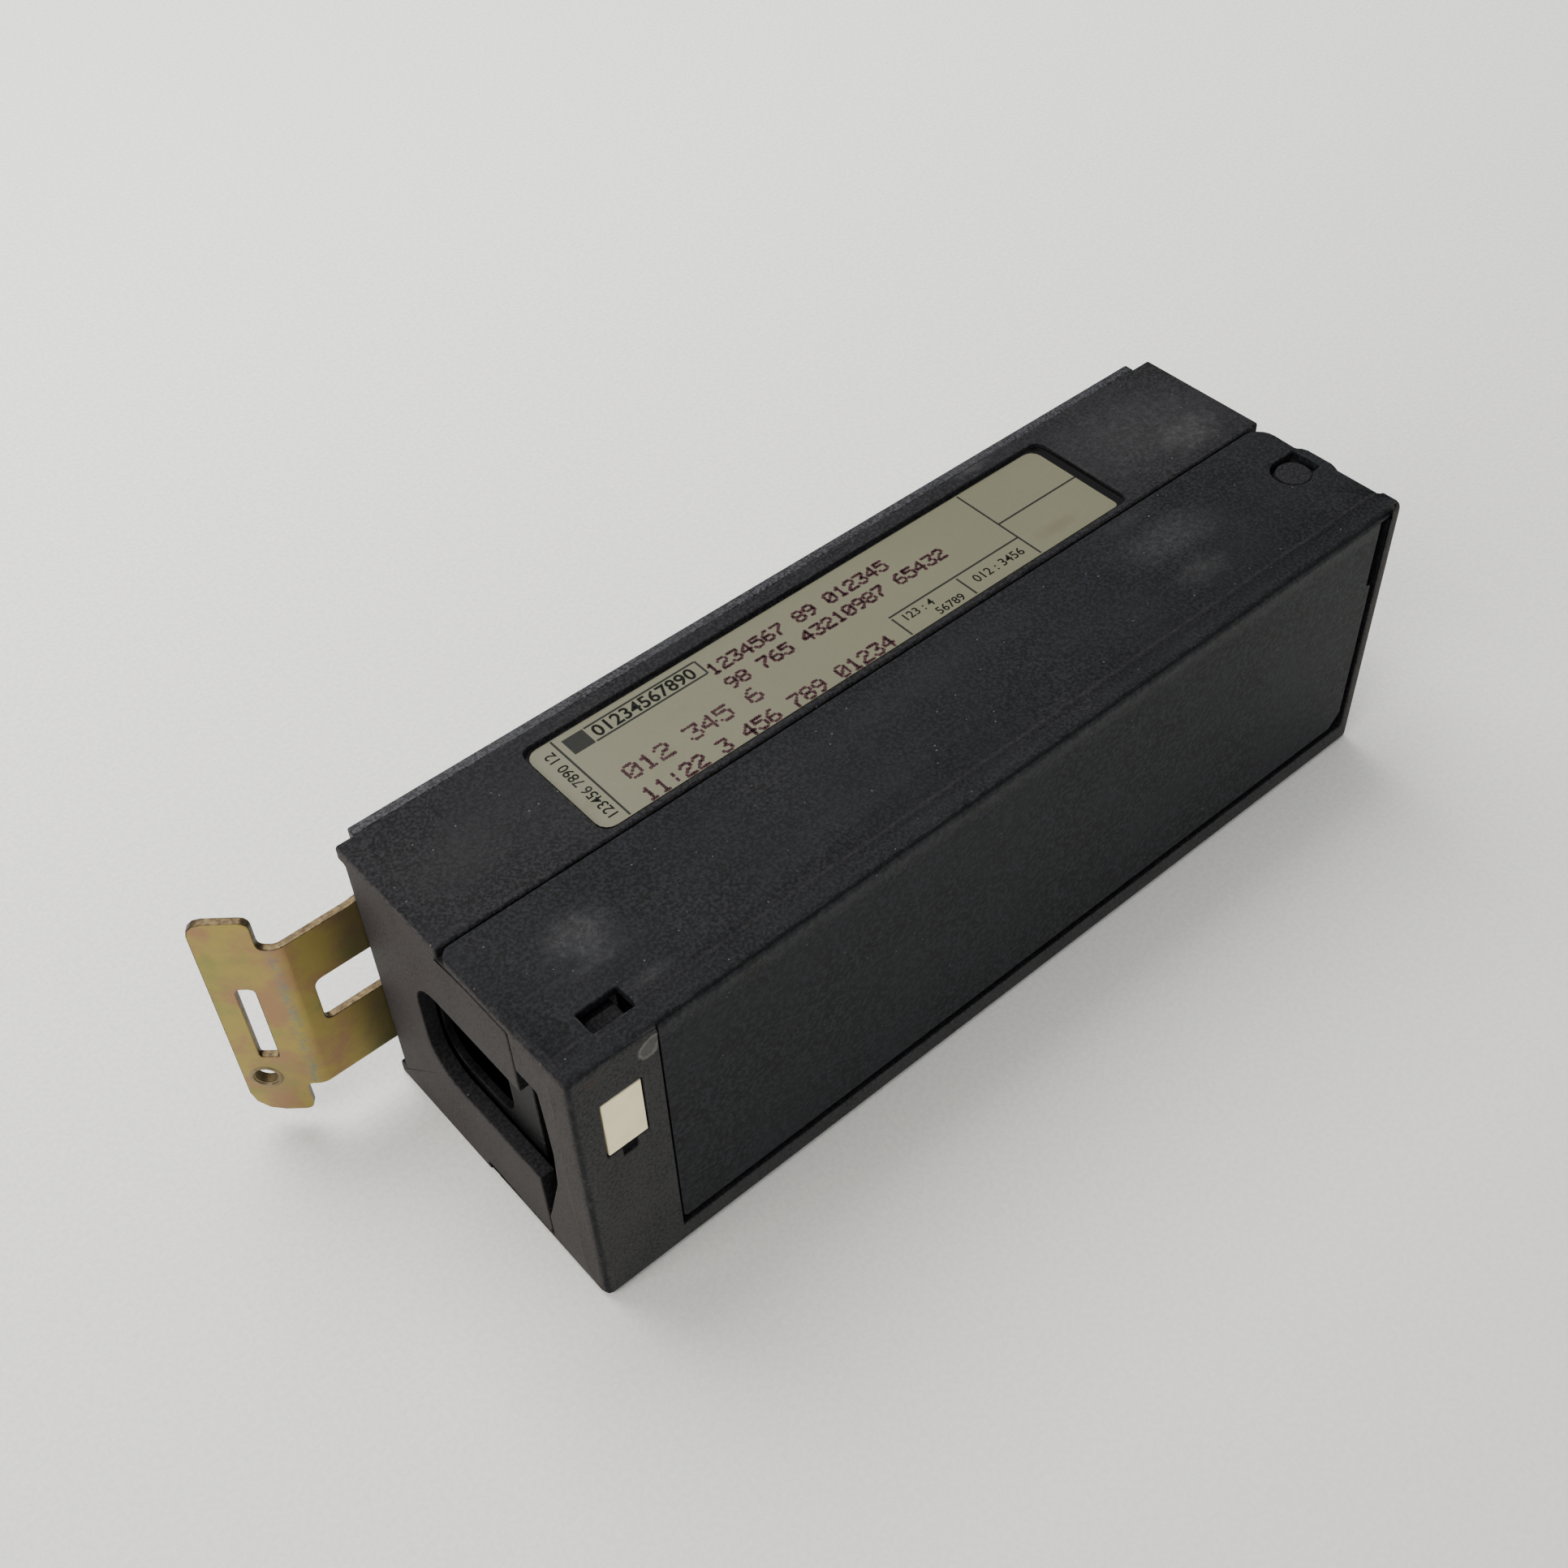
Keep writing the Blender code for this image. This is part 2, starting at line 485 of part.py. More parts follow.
def connector_base(mat):
    """Rear moulding with two rows of contact sockets; its flange stands behind the housing."""
    flange = box_mesh("connector_base", [(BASE_X, FLANGE_Y, (0.6, HEIGHT - 0.6))], bevel=0.3)
    base = add_object("connector_base", flange, parts, mat)
    block = box_mesh("base_block", [((27.0, 149.0), (44.0, 53.0), (3.2, 48.8))])
    tube = rods_mesh("fixing_tube", "y", [((FIXING_X, FIXING_Z), 3.6, FIXING_SEAT, 53.0)], sides=20)
    combine(base, 'UNION', block, tube)
    sockets = []
    for z in SOCKET_ROWS:
        for i in range(PER_ROW):
            x = FIRST_X + PITCH * i + 1.2
            sockets.append(((x - 1.6, x + 1.6), (46.0, 56.0), (z - 2.6, z + 2.6)))
    key_pockets = [((x - 2.2, x + 2.2), (51.0, 56.0), (24.0, 28.0)) for x in KEY_X]
    screw_holes = rods_mesh("base_screw_holes", "y", [((x, z), 1.6, 50.0, 56.0)
                                                      for x in BASE_SCREW_X for z in BASE_SCREW_Z], sides=12)
    seats = rods_mesh("base_screw_seats", "y", [((x, z), 2.9, FLANGE_Y[1] - 1.1, 56.0)
                                                for x in BASE_SCREW_X for z in BASE_SCREW_Z], sides=16)
    fixing_hole = rods_mesh("fixing_hole", "y", [((FIXING_X, FIXING_Z), 2.3, 30.0, 60.0)], sides=16)
    leg_holes = rods_mesh("leg_screw_holes", "y", [
        ((LEG_SCREW_X, z), 1.6, 50.0, 53.6) for z in LEG_SCREW_Z], sides=12)
    combine(base, 'DIFFERENCE', box_mesh("sockets", sockets), box_mesh("key_pockets", key_pockets),
            screw_holes, seats, fixing_hole, leg_holes)


def fasteners(steel, zinc, plastic):
    """Screws of the base and the bracket, the captive fixing screw with its ring, coding pegs."""
    number = 0
    for x in BASE_SCREW_X:
        for z in BASE_SCREW_Z:
            number += 1
            make_screw("base_screw_%d" % number, zinc, x, z, tip=44.0, under_head=FLANGE_Y[1] - 0.8,
                       head_top=FLANGE_Y[1] + 0.4, shank_r=1.2, head_r=2.5)
    for name, z in zip(("lower", "upper"), LEG_SCREW_Z):
        make_screw("bracket_screw_" + name, zinc, LEG_SCREW_X, z, tip=53.3, under_head=BRACKET_FRONT - GAP,
                   head_top=BRACKET_FRONT - 2.0, shank_r=1.3, head_r=2.9)
    make_screw("fixing_screw", steel, FIXING_X, FIXING_Z, tip=58.0, under_head=FIXING_SEAT - GAP,
               head_top=FIXING_SEAT - 3.8, shank_r=1.9, head_r=3.4)
    ring = rods_mesh("retaining_ring", "y", [
        ((FIXING_X, FIXING_Z), 3.6, FLANGE_Y[1] + GAP, FLANGE_Y[1] + 1.1)], sides=20)
    bore = rods_mesh("ring_bore", "y", [((FIXING_X, FIXING_Z), 2.2, 50.0, 60.0)], sides=20)
    combine(add_object("retaining_ring", ring, parts, steel), 'DIFFERENCE', bore)
    for number, x in enumerate(KEY_X, start=1):
        name = "coding_peg_%d" % number
        peg = box_mesh(name, [((x - 1.9, x + 1.9), (52.5, 56.4), (24.3, 27.7))], bevel=0.3)
        add_object(name, peg, parts, plastic)


def hang(pivot_name, at, *names):
    """Give moving pieces a parent empty on their joint's axis."""
    pivot = bpy.data.objects.new(pivot_name, None)
    pivot.location = at
    parts.objects.link(pivot)
    for name in names:
        piece = bpy.data.objects[name]
        piece.parent = pivot
        piece.matrix_parent_inverse = Matrix.Translation(-at)


def main():
    clear_scene()
    charcoal = material("charcoal_plastic", (0.035, 0.036, 0.041), 0.62)
    smooth_black = material("flap_plastic", (0.028, 0.032, 0.037), 0.45)
    passivated = material("yellow_passivated_steel", (0.62, 0.50, 0.24), 0.35, 1.0)
    steel = material("nickel_plated_steel", (0.60, 0.59, 0.57), 0.30, 1.0)
    zinc = material("zinc_plated_steel", (0.66, 0.67, 0.69), 0.35, 1.0)
    sticker = material("aged_sticker", (0.42, 0.41, 0.33), 0.55)
    white = material("white_plastic", (0.83, 0.80, 0.70), 0.40)
    paper = material("legend_paper", (0.78, 0.76, 0.70), 0.80)
    inner = material("grey_moulding", (0.07, 0.07, 0.075), 0.55)
    rear_housing(charcoal)
    front_cover(charcoal)
    legend_flap(smooth_black)
    cover_inserts(paper, white)
    rating_label(sticker)
    cable_bracket(passivated)
    cable_guide(inner)
    terminal_body(inner)
    terminal_screws(steel)
    number_strips(white)
    connector_base(inner)
    fasteners(steel, zinc, inner)
    hang("cover_pivot", place(PIVOT_X, PIVOT_Y, HEIGHT / 2), "front_cover", "legend_card", "marker_tile")
    hang("flap_pivot", place((FLAP_NEAR + FLAP_FAR) / 2, HINGE_Y, HINGE_Z), "legend_flap")
    hang("fixing_axis", place(FIXING_X, 45.0, FIXING_Z), "fixing_screw", "retaining_ring")


main()
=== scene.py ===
"""Looks of the plug-in wiring block: moulded charcoal case, plated bracket, aged sticker, terminals."""
import math

import bmesh
import bpy
from mathutils import Matrix, Vector


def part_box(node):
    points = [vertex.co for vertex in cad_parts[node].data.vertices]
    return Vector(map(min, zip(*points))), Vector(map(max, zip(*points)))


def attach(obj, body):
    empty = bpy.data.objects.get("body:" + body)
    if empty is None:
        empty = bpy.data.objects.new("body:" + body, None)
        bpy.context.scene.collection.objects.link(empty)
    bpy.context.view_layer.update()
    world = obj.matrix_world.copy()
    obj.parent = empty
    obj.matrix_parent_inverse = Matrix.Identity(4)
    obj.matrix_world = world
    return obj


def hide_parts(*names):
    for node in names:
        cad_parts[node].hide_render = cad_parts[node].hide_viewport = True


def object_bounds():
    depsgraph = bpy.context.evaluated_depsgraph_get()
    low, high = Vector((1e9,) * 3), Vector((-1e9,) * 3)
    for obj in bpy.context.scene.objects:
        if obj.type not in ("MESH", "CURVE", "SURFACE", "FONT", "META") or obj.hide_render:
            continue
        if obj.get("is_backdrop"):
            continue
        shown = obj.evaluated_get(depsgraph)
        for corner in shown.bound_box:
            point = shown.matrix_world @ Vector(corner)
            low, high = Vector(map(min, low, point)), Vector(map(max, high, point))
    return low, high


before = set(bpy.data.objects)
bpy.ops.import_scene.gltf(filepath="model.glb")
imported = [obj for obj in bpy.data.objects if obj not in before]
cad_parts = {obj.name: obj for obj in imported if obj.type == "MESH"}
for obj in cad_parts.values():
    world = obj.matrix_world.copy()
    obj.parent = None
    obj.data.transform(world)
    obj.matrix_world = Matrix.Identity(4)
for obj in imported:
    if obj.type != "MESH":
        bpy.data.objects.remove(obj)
cad_low, cad_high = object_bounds()

# ---------------------------------------------------------------- camera
# It stands off the cable end and the front flap, well above the block, and looks down at it
# with a little roll.
eye = Vector((-0.1411, -0.1619, 0.2470))
look = Vector((0.4236, 0.5325, -0.7328)).normalized()
right = look.cross(Vector((0.4970, 0.5397, 0.6795))).normalized()
lens = bpy.data.cameras.new("studio_camera")
lens.sensor_width, lens.lens = 36.0, 45.0
lens.clip_start = 0.01
facing = Matrix((right, right.cross(look), -look)).transposed()


def placed(name, data):
    """A new object in the scene."""
    made = bpy.data.objects.new(name, data)
    bpy.context.scene.collection.objects.link(made)
    return made


camera = placed("studio_camera", lens)
camera.matrix_world = Matrix.Translation(eye) @ facing.to_4x4()
bpy.context.scene.camera = camera

# ---------------------------------------------------------------- rear housing
# Deep tray moulded in glass-filled charcoal plastic: it carries the terminals, the pivots and
# the latch arms. Its skin has a fine spark-eroded grain, settled dust and rubbed corners; the corners
# also carry painted edge highlights, and the end face is painted lighter with dust and painted light.
MM = 0.001
housing_low, housing_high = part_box("rear_housing")
cover_low, cover_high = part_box("front_cover")
block_corner = Vector((housing_low.x, cover_low.y, housing_low.z))


def at(x, y, z):
    """A place in millimetres from the block's corner: along it, back from its front face, and up."""
    return block_corner + Vector((x, y, z)) * MM


def add(tree, kind, inputs=None, **settings):
    """A node with its settings made, and its inputs set or linked."""
    made = tree.nodes.new(kind)
    for name, value in settings.items():
        setattr(made, name, value)
    for name, value in (inputs or {}).items():
        if isinstance(value, bpy.types.NodeSocket):
            tree.links.new(value, made.inputs[name])
        else:
            made.inputs[name].default_value = value
    return made


def calc(tree, operation, first, second, clamp=False):
    made = add(tree, "ShaderNodeMath", {0: first, 1: second}, operation=operation, use_clamp=clamp)
    return made.outputs[0]


def step(tree, value, low, high):
    """0 below low, 1 above high, smooth between; high below low turns it round."""
    made = add(tree, "ShaderNodeMapRange", {"Value": value, "From Min": low, "From Max": high},
               interpolation_type='SMOOTHSTEP')
    return made.outputs["Result"]


def blend(tree, mask, first, second, strength=1.0):
    """Colour that goes from first to second with the mask, as far as strength allows."""
    if strength != 1.0:
        mask = calc(tree, 'MULTIPLY', mask, strength)
    colours = [(*c, 1.0) if isinstance(c, tuple) else c for c in (first, second)]
    made = add(tree, "ShaderNodeMix", {0: mask, 6: colours[0], 7: colours[1]}, data_type='RGBA')
    return made.outputs[2]


def noise(tree, position, scale, detail=3.0, rough=0.55):
    made = add(tree, "ShaderNodeTexNoise", {"Vector": position, "Scale": scale, "Detail": detail,
                                            "Roughness": rough})
    return made.outputs["Fac"]


def patches(tree, position, scale, detail, rough, low, high):
    """Noise sharpened into patches: 0 where it is below low, 1 where it is above high."""
    return step(tree, noise(tree, position, scale, detail, rough), low, high)


def swing(tree, base, value, amount, clamp=False):
    """The base value, raised by an amount of another one."""
    return calc(tree, 'ADD', base, calc(tree, 'MULTIPLY', value, amount), clamp)


def vector_calc(tree, operation, first, second):
    return add(tree, "ShaderNodeVectorMath", {0: first, 1: second}, operation=operation).outputs[0]


def shader_group(name, inputs, outputs):
    """A shader group with named sockets: its tree, its entry and its exit."""
    group = bpy.data.node_groups.new(name, "ShaderNodeTree")
    for title, value in inputs.items():
        kind = "NodeSocketFloat" if isinstance(value, float) else "NodeSocketVector"
        group.interface.new_socket(title, in_out='INPUT', socket_type=kind).default_value = value
    for title, kind in outputs.items():
        group.interface.new_socket(title, in_out='OUTPUT', socket_type=kind)
    return group, group.nodes.new("NodeGroupInput"), group.nodes.new("NodeGroupOutput")


# Millimetres from the block's corner, for every pattern.
block_place, _, leave = shader_group("block_place", {}, {"Position": "NodeSocketVector"})
here = add(block_place, "ShaderNodeTexCoord").outputs["Object"]
moved = vector_calc(block_place, 'SUBTRACT', here, tuple(block_corner))
scaled = add(block_place, "ShaderNodeVectorMath", {0: moved, "Scale": 1 / MM}, operation='SCALE')
block_place.links.new(scaled.outputs[0], leave.inputs["Position"])

# Spark-eroded grain: a coarse and a fine octave.
ORIGIN = (0.0, 0.0, 0.0)
moulded_grain, enter, leave = shader_group("moulded_grain", {"Position": ORIGIN, "Grain Size": 0.4},
                                           {"Height": "NodeSocketFloat"})
spot = enter.outputs["Position"]
density = calc(moulded_grain, 'DIVIDE', 1.0, enter.outputs["Grain Size"])
coarse = noise(moulded_grain, spot, density, 2.0, 0.7)
fine = noise(moulded_grain, spot, calc(moulded_grain, 'MULTIPLY', density, 2.7), 1.0)
moulded_grain.links.new(swing(moulded_grain, coarse, fine, 0.5), leave.inputs["Height"])

# Dust that has settled in the grain: soft patches broken into flecks, with a few bright specks.
settled_dust, enter, leave = shader_group(
    "settled_dust", {"Position": ORIGIN, "Patch Size": 14.0, "Fleck Size": 0.55, "Coverage": 0.5},
    {"Mask": "NodeSocketFloat", "Specks": "NodeSocketFloat"})
spot = enter.outputs["Position"]
patch_scale = calc(settled_dust, 'DIVIDE', 1.0, enter.outputs["Patch Size"])
fleck_scale = calc(settled_dust, 'DIVIDE', 1.0, enter.outputs["Fleck Size"])
bare = calc(settled_dust, 'SUBTRACT', 1.0, enter.outputs["Coverage"])
cloud = patches(settled_dust, spot, patch_scale, 4.0, 0.6, calc(settled_dust, 'SUBTRACT', bare, 0.12),
                calc(settled_dust, 'ADD', bare, 0.3))
grit = patches(settled_dust, spot, fleck_scale, 3.0, 0.75, 0.42, 0.72)
settled_dust.links.new(calc(settled_dust, 'MULTIPLY', cloud, grit), leave.inputs["Mask"])
cells = add(settled_dust, "ShaderNodeTexVoronoi", {"Vector": spot, "Scale": 0.42}, feature='F1')
speck_size = calc(settled_dust, 'MULTIPLY', noise(settled_dust, spot, 0.11, 1.0), 0.13)
speck_core = calc(settled_dust, 'MULTIPLY', speck_size, 0.4)
settled_dust.links.new(step(settled_dust, cells.outputs["Distance"], speck_size, speck_core),
                       leave.inputs["Specks"])

# Edge strips: the rounded strips of a piece, broken up along their length. On moulded plastic they are
# painted lighter, as worn edges and painted edge highlights; on light plastic they are darker, as grime.
edge_strips, enter, leave = shader_group("edge_strips", {"Position": ORIGIN, "Strip Amount": 0.5},
                                          {"Mask": "NodeSocketFloat"})
strip = add(edge_strips, "ShaderNodeAttribute", attribute_name="edge").outputs["Fac"]
strip_threshold = swing(edge_strips, 0.78, enter.outputs["Strip Amount"], -0.5)
kept = patches(edge_strips, enter.outputs["Position"], 0.35, 5.0, 0.7, strip_threshold, 0.75)
edge_strips.links.new(calc(edge_strips, 'MULTIPLY', strip, kept), leave.inputs["Mask"])

# A soft ragged spot of its own size: it places rubs and stains, and also painted highlights and painted
# shade.
ragged_spot, enter, leave = shader_group(
    "ragged_spot", {"Position": ORIGIN, "Centre": ORIGIN, "Size": (5.0, 5.0, 5.0)},
    {"Mask": "NodeSocketFloat", "Distance": "NodeSocketFloat"})
spot = enter.outputs["Position"]
away = vector_calc(ragged_spot, 'SUBTRACT', spot, enter.outputs["Centre"])
away = vector_calc(ragged_spot, 'DIVIDE', away, enter.outputs["Size"])
length = add(ragged_spot, "ShaderNodeVectorMath", {0: away}, operation='LENGTH').outputs["Value"]
rag = calc(ragged_spot, 'SUBTRACT', noise(ragged_spot, spot, 0.55, 5.0, 0.7), 0.5)
ragged = calc(ragged_spot, 'ADD', length, rag)
ragged_spot.links.new(step(ragged_spot, ragged, 1.0, 0.1), leave.inputs["Mask"])
ragged_spot.links.new(ragged, leave.inputs["Distance"])


def new_finish(name):
    """A material's tree, its Principled shader, and the position that its patterns read."""
    finish = bpy.data.materials.new(name)
    finish.use_nodes = True
    tree = finish.node_tree
    position = add(tree, "ShaderNodeGroup", node_tree=block_place).outputs["Position"]
    return finish, tree, tree.nodes["Principled BSDF"], position


def effect(tree, group, position, inputs=None):
    """The outputs of a shader group, placed in a tree with its own values."""
    return add(tree, "ShaderNodeGroup", {"Position": position, **(inputs or {})}, node_tree=group).outputs


def surface(tree, colour, roughness, height=None, strength=0.0, depth=0.0):
    """Links a finish's colour, roughness and relief; the relief's depth is in millimetres."""
    shader = tree.nodes["Principled BSDF"]
    tree.links.new(colour, shader.inputs["Base Color"])
    if isinstance(roughness, float):
        shader.inputs["Roughness"].default_value = roughness
    else:
        tree.links.new(roughness, shader.inputs["Roughness"])
    if height is not None:
        bump = add(tree, "ShaderNodeBump", {"Height": height, "Strength": strength, "Distance": depth * MM})
        tree.links.new(bump.outputs["Normal"], shader.inputs["Normal"])


def painted_over(finish, mask_of, colour):
    """A last mark over a finish's colour: mask_of makes its mask from the tree and the position."""
    tree = finish.node_tree
    place = next(node for node in tree.nodes if node.type == 'GROUP' and node.node_tree == block_place)
    base = tree.nodes["Principled BSDF"].inputs["Base Color"]
    mask = mask_of(tree, place.outputs["Position"])
    tree.links.new(blend(tree, mask, base.links[0].from_socket, colour), base)


DUST, SPECK = (0.044, 0.042, 0.040), (0.12, 0.115, 0.105)
# Pale tones that paint the end face and the front face lighter: settled dust, and painted light on those
# sides.
END_DUST_AND_LIGHT = ("X", (0.034, 0.029, 0.0275), 0.9)
FRONT_DUST_AND_LIGHT = ("Y", (0.0350, 0.0345, 0.0345), 0.85)
# Pale colour of the edge strips: worn plastic, and painted edge highlights.
WORN_EDGE_AND_HIGHLIGHT = (0.030, 0.030, 0.031)


def tinted(colour, factor):
    return tuple(channel * factor for channel in colour)


def moulded_plastic(name, colour, roughness, grain, dust, edge_wear_and_highlight, marks=(), face_dust_and_light=(), specular=0.14):
    """Grained plastic. A mark is (centre, size, colour, strength), in the block's millimetres; some marks are
    rubs and stains, some are painted highlights. A face tone is (axis, colour, strength), and paints the
    outer face where that axis starts lighter: dust, and painted light on that side. The edge strips are
    painted lighter: worn edges, and painted edge highlights."""
    finish, tree, shader, position = new_finish(name)
    height = effect(tree, moulded_grain, position, {"Grain Size": grain})["Height"]
    grains = patches(tree, position, 0.85 / grain, 3.0, 0.7, 0.41, 0.63)
    shade = blend(tree, grains, tinted(colour, 0.3), tinted(colour, 2.7))
    shade = blend(tree, patches(tree, position, 0.06, 4.0, 0.55, 0.35, 0.7), shade, tinted(colour, 1.9), 0.5)
    dusty = effect(tree, settled_dust, position, {"Coverage": dust})
    settled = calc(tree, 'MULTIPLY', dusty["Mask"], 0.32)
    # Each face tone paints its outer face lighter: dust, and painted light on that side.
    for axis, tint, strength in face_dust_and_light:
        outer = step(tree, add(tree, "ShaderNodeSeparateXYZ", {0: position}).outputs[axis], 0.35, 0.05)
        clouds = swing(tree, calc(tree, 'MULTIPLY', noise(tree, position, 0.16, 4.0), 0.9),
                       patches(tree, position, 1.9, 3.0, 0.7, 0.36, 0.64), 0.8)
        dust_and_light_mask = calc(tree, 'MULTIPLY', calc(tree, 'MULTIPLY', outer, clouds), strength * 1.15, clamp=True)
        shade = blend(tree, dust_and_light_mask, shade, tint)
    shade = blend(tree, settled, shade, DUST)
    for centre, size, tint, strength in marks:
        mark = effect(tree, ragged_spot, position, {"Centre": centre, "Size": size})["Mask"]
        mark_breakup = swing(tree, 0.3, patches(tree, position, 0.9, 8.0, 0.85, 0.45, 0.64), 0.75)
        shade = blend(tree, calc(tree, 'MULTIPLY', mark, mark_breakup), shade, tint, strength)
    worn = effect(tree, edge_strips, position, {"Strip Amount": edge_wear_and_highlight})["Mask"]
    # The edge strips are painted lighter: worn edges, and painted edge highlights.
    shade = blend(tree, worn, shade, WORN_EDGE_AND_HIGHLIGHT, 0.6)
    shade = blend(tree, dusty["Specks"], shade, SPECK, 0.55)
    dull = swing(tree, roughness, settled, 0.25, clamp=True)
    surface(tree, shade, swing(tree, dull, worn, -0.12), height, 0.5, 0.05)
    shader.inputs["Specular IOR Level"].default_value = specular
    return finish


def merged(node):
    """A bmesh of a CAD node with its hard edges kept and its larger flat faces cut afresh."""
    form = bmesh.new()
    form.from_mesh(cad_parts[node].data)
    bmesh.ops.remove_doubles(form, verts=form.verts, dist=0.005 * MM)
    bmesh.ops.dissolve_limit(form, angle_limit=math.radians(0.5), verts=form.verts, edges=form.edges)
    bmesh.ops.triangulate(form, faces=[face for face in form.faces if len(face.verts) > 4])
    return form


def show(name, mesh, body, finish, slot, *stands_for):
    """A finished piece: its mesh, material, body and the CAD nodes it stands for; the record slot is not
    used.
    """
    mesh.materials.clear()
    mesh.materials.append(finish)
    piece = placed(name, mesh)
    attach(piece, body)
    if stands_for:
        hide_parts(*stands_for)


def evaluated_mesh(guide):
    """The mesh that a guide object's modifiers make; the guide is removed."""
    bpy.context.view_layer.update()
    mesh = bpy.data.meshes.new_from_object(guide.evaluated_get(bpy.context.evaluated_depsgraph_get()))
    bpy.data.objects.remove(guide)
    return mesh


def softened(form, radius, angle=34, clamp=False):
    """A mesh whose hard edges are rounded; its rounded strips are marked by the attribute edge. Clamp
    holds the radius down to what the shortest edges allow."""
    mesh = bpy.data.meshes.new("softened")
    form.to_mesh(mesh)
    form.free()
    for slot_name in ("face", "strip"):
        mesh.materials.append(bpy.data.materials.get(slot_name) or bpy.data.materials.new(slot_name))
    mesh.shade_smooth()
    guide = placed("softened", mesh)
    bevel = guide.modifiers.new("moulded_radius", 'BEVEL')
    bevel.width, bevel.segments, bevel.profile = radius * MM, 3, 0.5
    bevel.limit_method, bevel.angle_limit = 'ANGLE', math.radians(angle)
    bevel.use_clamp_overlap, bevel.loop_slide = clamp, False
    bevel.miter_outer = 'MITER_ARC'
    bevel.material = 1
    guide.modifiers.new("flat_faces", 'WEIGHTED_NORMAL').keep_sharp = True
    done = evaluated_mesh(guide)
    strips = done.attributes.new("edge", 'FLOAT', 'FACE')
    for polygon, value in zip(done.polygons, strips.data):
        value.value = float(polygon.material_index)
        polygon.material_index = 0
    return done


CHARCOAL = (0.0050, 0.0050, 0.0058)
housing_marks = [((150.0, 34.5, 52.0), (8.0, 5.0, 3.0), (0.050, 0.050, 0.049), 0.75),
                 ((145.0, 40.0, 52.0), (24.0, 14.0, 3.0), (0.030, 0.030, 0.031), 0.75),
                 ((118.0, 51.5, 52.0), (5.0, 1.5, 3.0), (0.050, 0.050, 0.050), 0.8),
                 ((11.0, 40.0, 52.0), (14.0, 8.0, 3.0), (0.018, 0.018, 0.018), 0.6)]
housing_finish = moulded_plastic("charcoal_housing", CHARCOAL, 0.74, 0.42, 0.56, 0.55, housing_marks,
                                 [END_DUST_AND_LIGHT])


def glue_strip(tree, position):
    """A near-black strip on the recess floor beyond the sticker's far end: old adhesive, and painted shade of
    the deeper gap there.
    """
    glue_and_gap = effect(tree, ragged_spot, position, {"Centre": (130.5, 39.3, 50.6), "Size": (1.9, 13.0, 1.0)})
    return step(tree, glue_and_gap["Distance"], 1.1, 0.9)


# The strip is painted near black: old adhesive, and painted shade in the gap beyond the sticker.
painted_over(housing_finish, glue_strip, (0.0009, 0.0008, 0.0008))
# The two pins stand a little forward in the cover's eyes, with the play behind them.
form = merged("rear_housing")
PIVOT, PIVOT_R, PIVOT_PLAY, PIN_HEIGHT = (154.0, 16.5), 2.8, 0.45, 0.5
TOUCH = 0.05
pivot_foot = at(*PIVOT, 0)
for vert in form.verts:
    from_side = min(housing_high.z - vert.co.z, vert.co.z - housing_low.z)
    if from_side < PIN_HEIGHT * MM and (vert.co.xy - pivot_foot.xy).length < (PIVOT_R + TOUCH) * MM:
        vert.co.y -= PIVOT_PLAY * MM
show("housing_shell", softened(form, 0.22), "housing", housing_finish, "charcoal_plastic", "rear_housing")

# ---------------------------------------------------------------- cable guide
# Upright plate behind the cable opening, moulded in grey plastic and slid into the housing; the
# wires pass through its long hole.
guide_finish = moulded_plastic("grey_guide", (0.0030, 0.0030, 0.0033), 0.55, 0.5, 0.45, 0.4)
show("guide_plate", softened(merged("cable_guide"), 0.25), "housing", guide_finish, "grey_moulding",
     "cable_guide")

# ---------------------------------------------------------------- terminal body
# Stepped moulding with a barrier between neighbouring terminals, in hard grey thermoset; it is
# dropped in from behind and held by the connector base.
body_finish = moulded_plastic("grey_terminal_moulding", (0.024, 0.025, 0.027), 0.48, 0.6, 0.35, 0.4)
show("terminal_moulding", softened(merged("terminal_body"), 0.15), "housing", body_finish, "grey_moulding",
     "terminal_body")

# ---------------------------------------------------------------- terminal screws
# Two rows of nickel-plated cheese-head screws, each slotted and turned to its own angle as the
# wire left it.
SCREWS = [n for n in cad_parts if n.startswith("terminal_screw_")]
rows = {"lower": sorted(SCREWS)[:len(SCREWS) // 2], "upper": sorted(SCREWS)[len(SCREWS) // 2:]}


def plated(name, colour, roughness, speckle=0.15):
    """Plated steel: fine mottling, dull spots and short wipe marks."""
    finish, tree, shader, position = new_finish(name)
    clouds = patches(tree, position, 0.5, 5.0, 0.65, 0.35, 0.7)
    shade = blend(tree, clouds, colour, tinted(colour, 0.72))
    pits = patches(tree, position, 3.0, 2.0, 0.55, 0.62, 0.72)
    shade = blend(tree, pits, shade, (0.12, 0.10, 0.08), speckle)
    wipes = noise(tree, position, 6.0, 2.0, 0.5)
    surface(tree, shade, swing(tree, roughness, clouds, 0.12), wipes, 0.2, 0.02)
    shader.inputs["Metallic"].default_value = 1.0
    return finish


def turned(profile, sides=28):
    """A bmesh turned about the Y axis from (radius, distance) points, closed at both ends."""
    form = bmesh.new()
    points = [form.verts.new((radius * MM, y * MM, 0.0)) for radius, y in profile]
    for first, second in zip(points, points[1:]):
        form.edges.new((first, second))
    bmesh.ops.spin(form, geom=form.verts[:] + form.edges[:], cent=(0, 0, 0), axis=(0, 1, 0),
                   angle=math.tau, steps=sides)
    bmesh.ops.remove_doubles(form, verts=form.verts, dist=0.002 * MM)
    bmesh.ops.recalc_face_normals(form, faces=form.faces)
    return form


